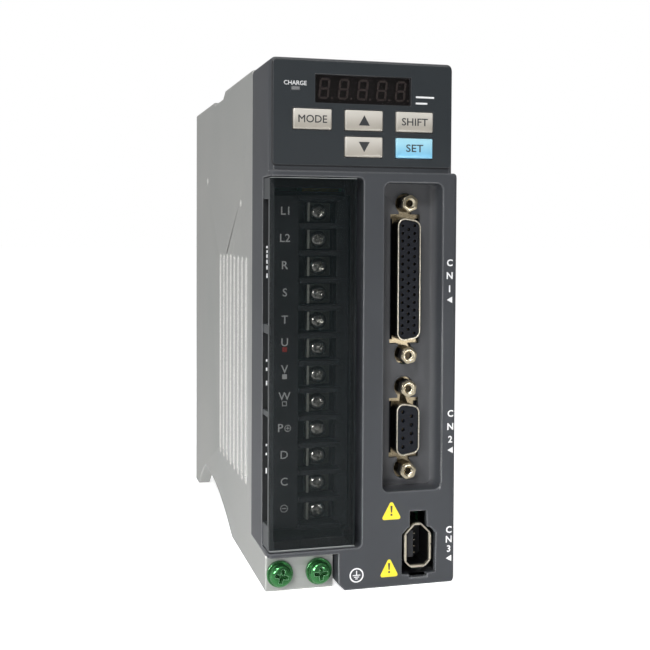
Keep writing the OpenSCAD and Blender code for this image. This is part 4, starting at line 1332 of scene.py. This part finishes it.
SIGNS = [(38.85, 21.0, 3.35), (38.2, 3.2, 3.2)]
SIGN_H, SIGN_R, SIGN_STEPS, SYMBOL_RISE = 6.0, 0.6, 5, 1.2


def rounded_triangle(x, base_z, half):
    """A triangle standing on its base with three round corners."""
    side, foot = half - SIGN_R * 1.7, base_z + SIGN_R
    points = []
    for i, (cx, cz) in enumerate([(x - side, foot), (x + side, foot), (x, base_z + SIGN_H - 2 * SIGN_R)]):
        for k in range(SIGN_STEPS + 1):
            t = math.radians(150 + 120 * i + 120 * k / SIGN_STEPS)
            points.append((cx + SIGN_R * math.cos(t), cz + SIGN_R * math.sin(t)))
    return points


signs = [mark(rounded_triangle(*sign), FACE_Y) for sign in SIGNS]
add_piece("sign_plates", joined(*signs), yellow_ink, "housing", "housing_plastic")
symbols = []
for x, base_z, _ in SIGNS:
    z = base_z + SYMBOL_RISE
    stroke = [(x - 0.2, z + 1.0), (x + 0.2, z + 1.0), (x + 0.36, z + 3.1), (x - 0.36, z + 3.1)]
    symbols += [mark(stroke, FACE_Y - INK), mark(bar(x - 0.3, z, x + 0.3, z + 0.6), FACE_Y - INK)]
add_piece("sign_symbols", joined(*symbols), dark_ink, "housing", "housing_plastic")

# %% Rating label on the side
MARGIN, TOP_MARGIN, LINE_PITCH, LINE_H = 3.0, 6.0, 4.6, 1.1
LINE_LENGTHS = (0.62, 0.84, 0.55, 0.93, 0.70, 0.48, 0.88, 0.66, 0.36)
label_low, label_high = span_mm("side_label")
add_piece("rating_label", softened("side_label", 0.04, 1), label_paper, "housing", "label_white",
          "side_label")
start_y, room = label_low.y + MARGIN, label_high.y - label_low.y - 2 * MARGIN
lines = bmesh.new()
for i, length in enumerate(LINE_LENGTHS):
    z = label_high.z - TOP_MARGIN - i * LINE_PITCH
    prism(lines, bar(start_y, z, start_y + length * room, z + LINE_H), -INK / 2, INK / 2)
to_side = Matrix(((0, 1, 0, label_high.x), (1, 0, 0, 0), (0, 0, 1, 0), (0, 0, 0, 1)))
lines.transform(to_side)
bmesh.ops.recalc_face_normals(lines, faces=lines.faces)
add_piece("rating_label_lines", to_mesh(lines), dark_ink, "housing", "label_white")

# %% [markdown]
# ## Inside
# The vents let light fall on the boards. The plain boards and packages keep their CAD shapes and get
# their own finishes; capacitors and relay are softened so that their rims catch the light.

# %% Boards and parts
PLAIN_FINISH = {"tact_switches": black_plastic, "display_board": solder_mask, "display_ribbon": ribbon_skin,
                "thermal_pad": pad_skin, "control_board": solder_mask, "power_board": solder_mask,
                "wall_spacers": turned_brass, "board_spacers": turned_brass}
for node, made in PLAIN_FINISH.items():
    nodes[node].data.materials.clear()
    nodes[node].data.materials.append(made)
SOFT_FINISH = {"bus_capacitors": (sleeve_film, 0.6, "sleeve_blue"),
               "transformer": (tape_film, 0.5, "winding_tape"),
               "inrush_relay": (black_plastic, 0.4, "black_plastic"),
               "power_module": (black_plastic, 0.2, "black_plastic"),
               "control_chips": (black_plastic, 0.15, "black_plastic"),
               "board_screws": (bright_nickel, 0.15, "bright_steel"),
               "shell_screws": (bright_nickel, 0.2, "bright_steel")}
for node, (made, width, slot) in SOFT_FINISH.items():
    add_piece(node + "_part", softened(node, width, 2), made, "housing", slot, node)
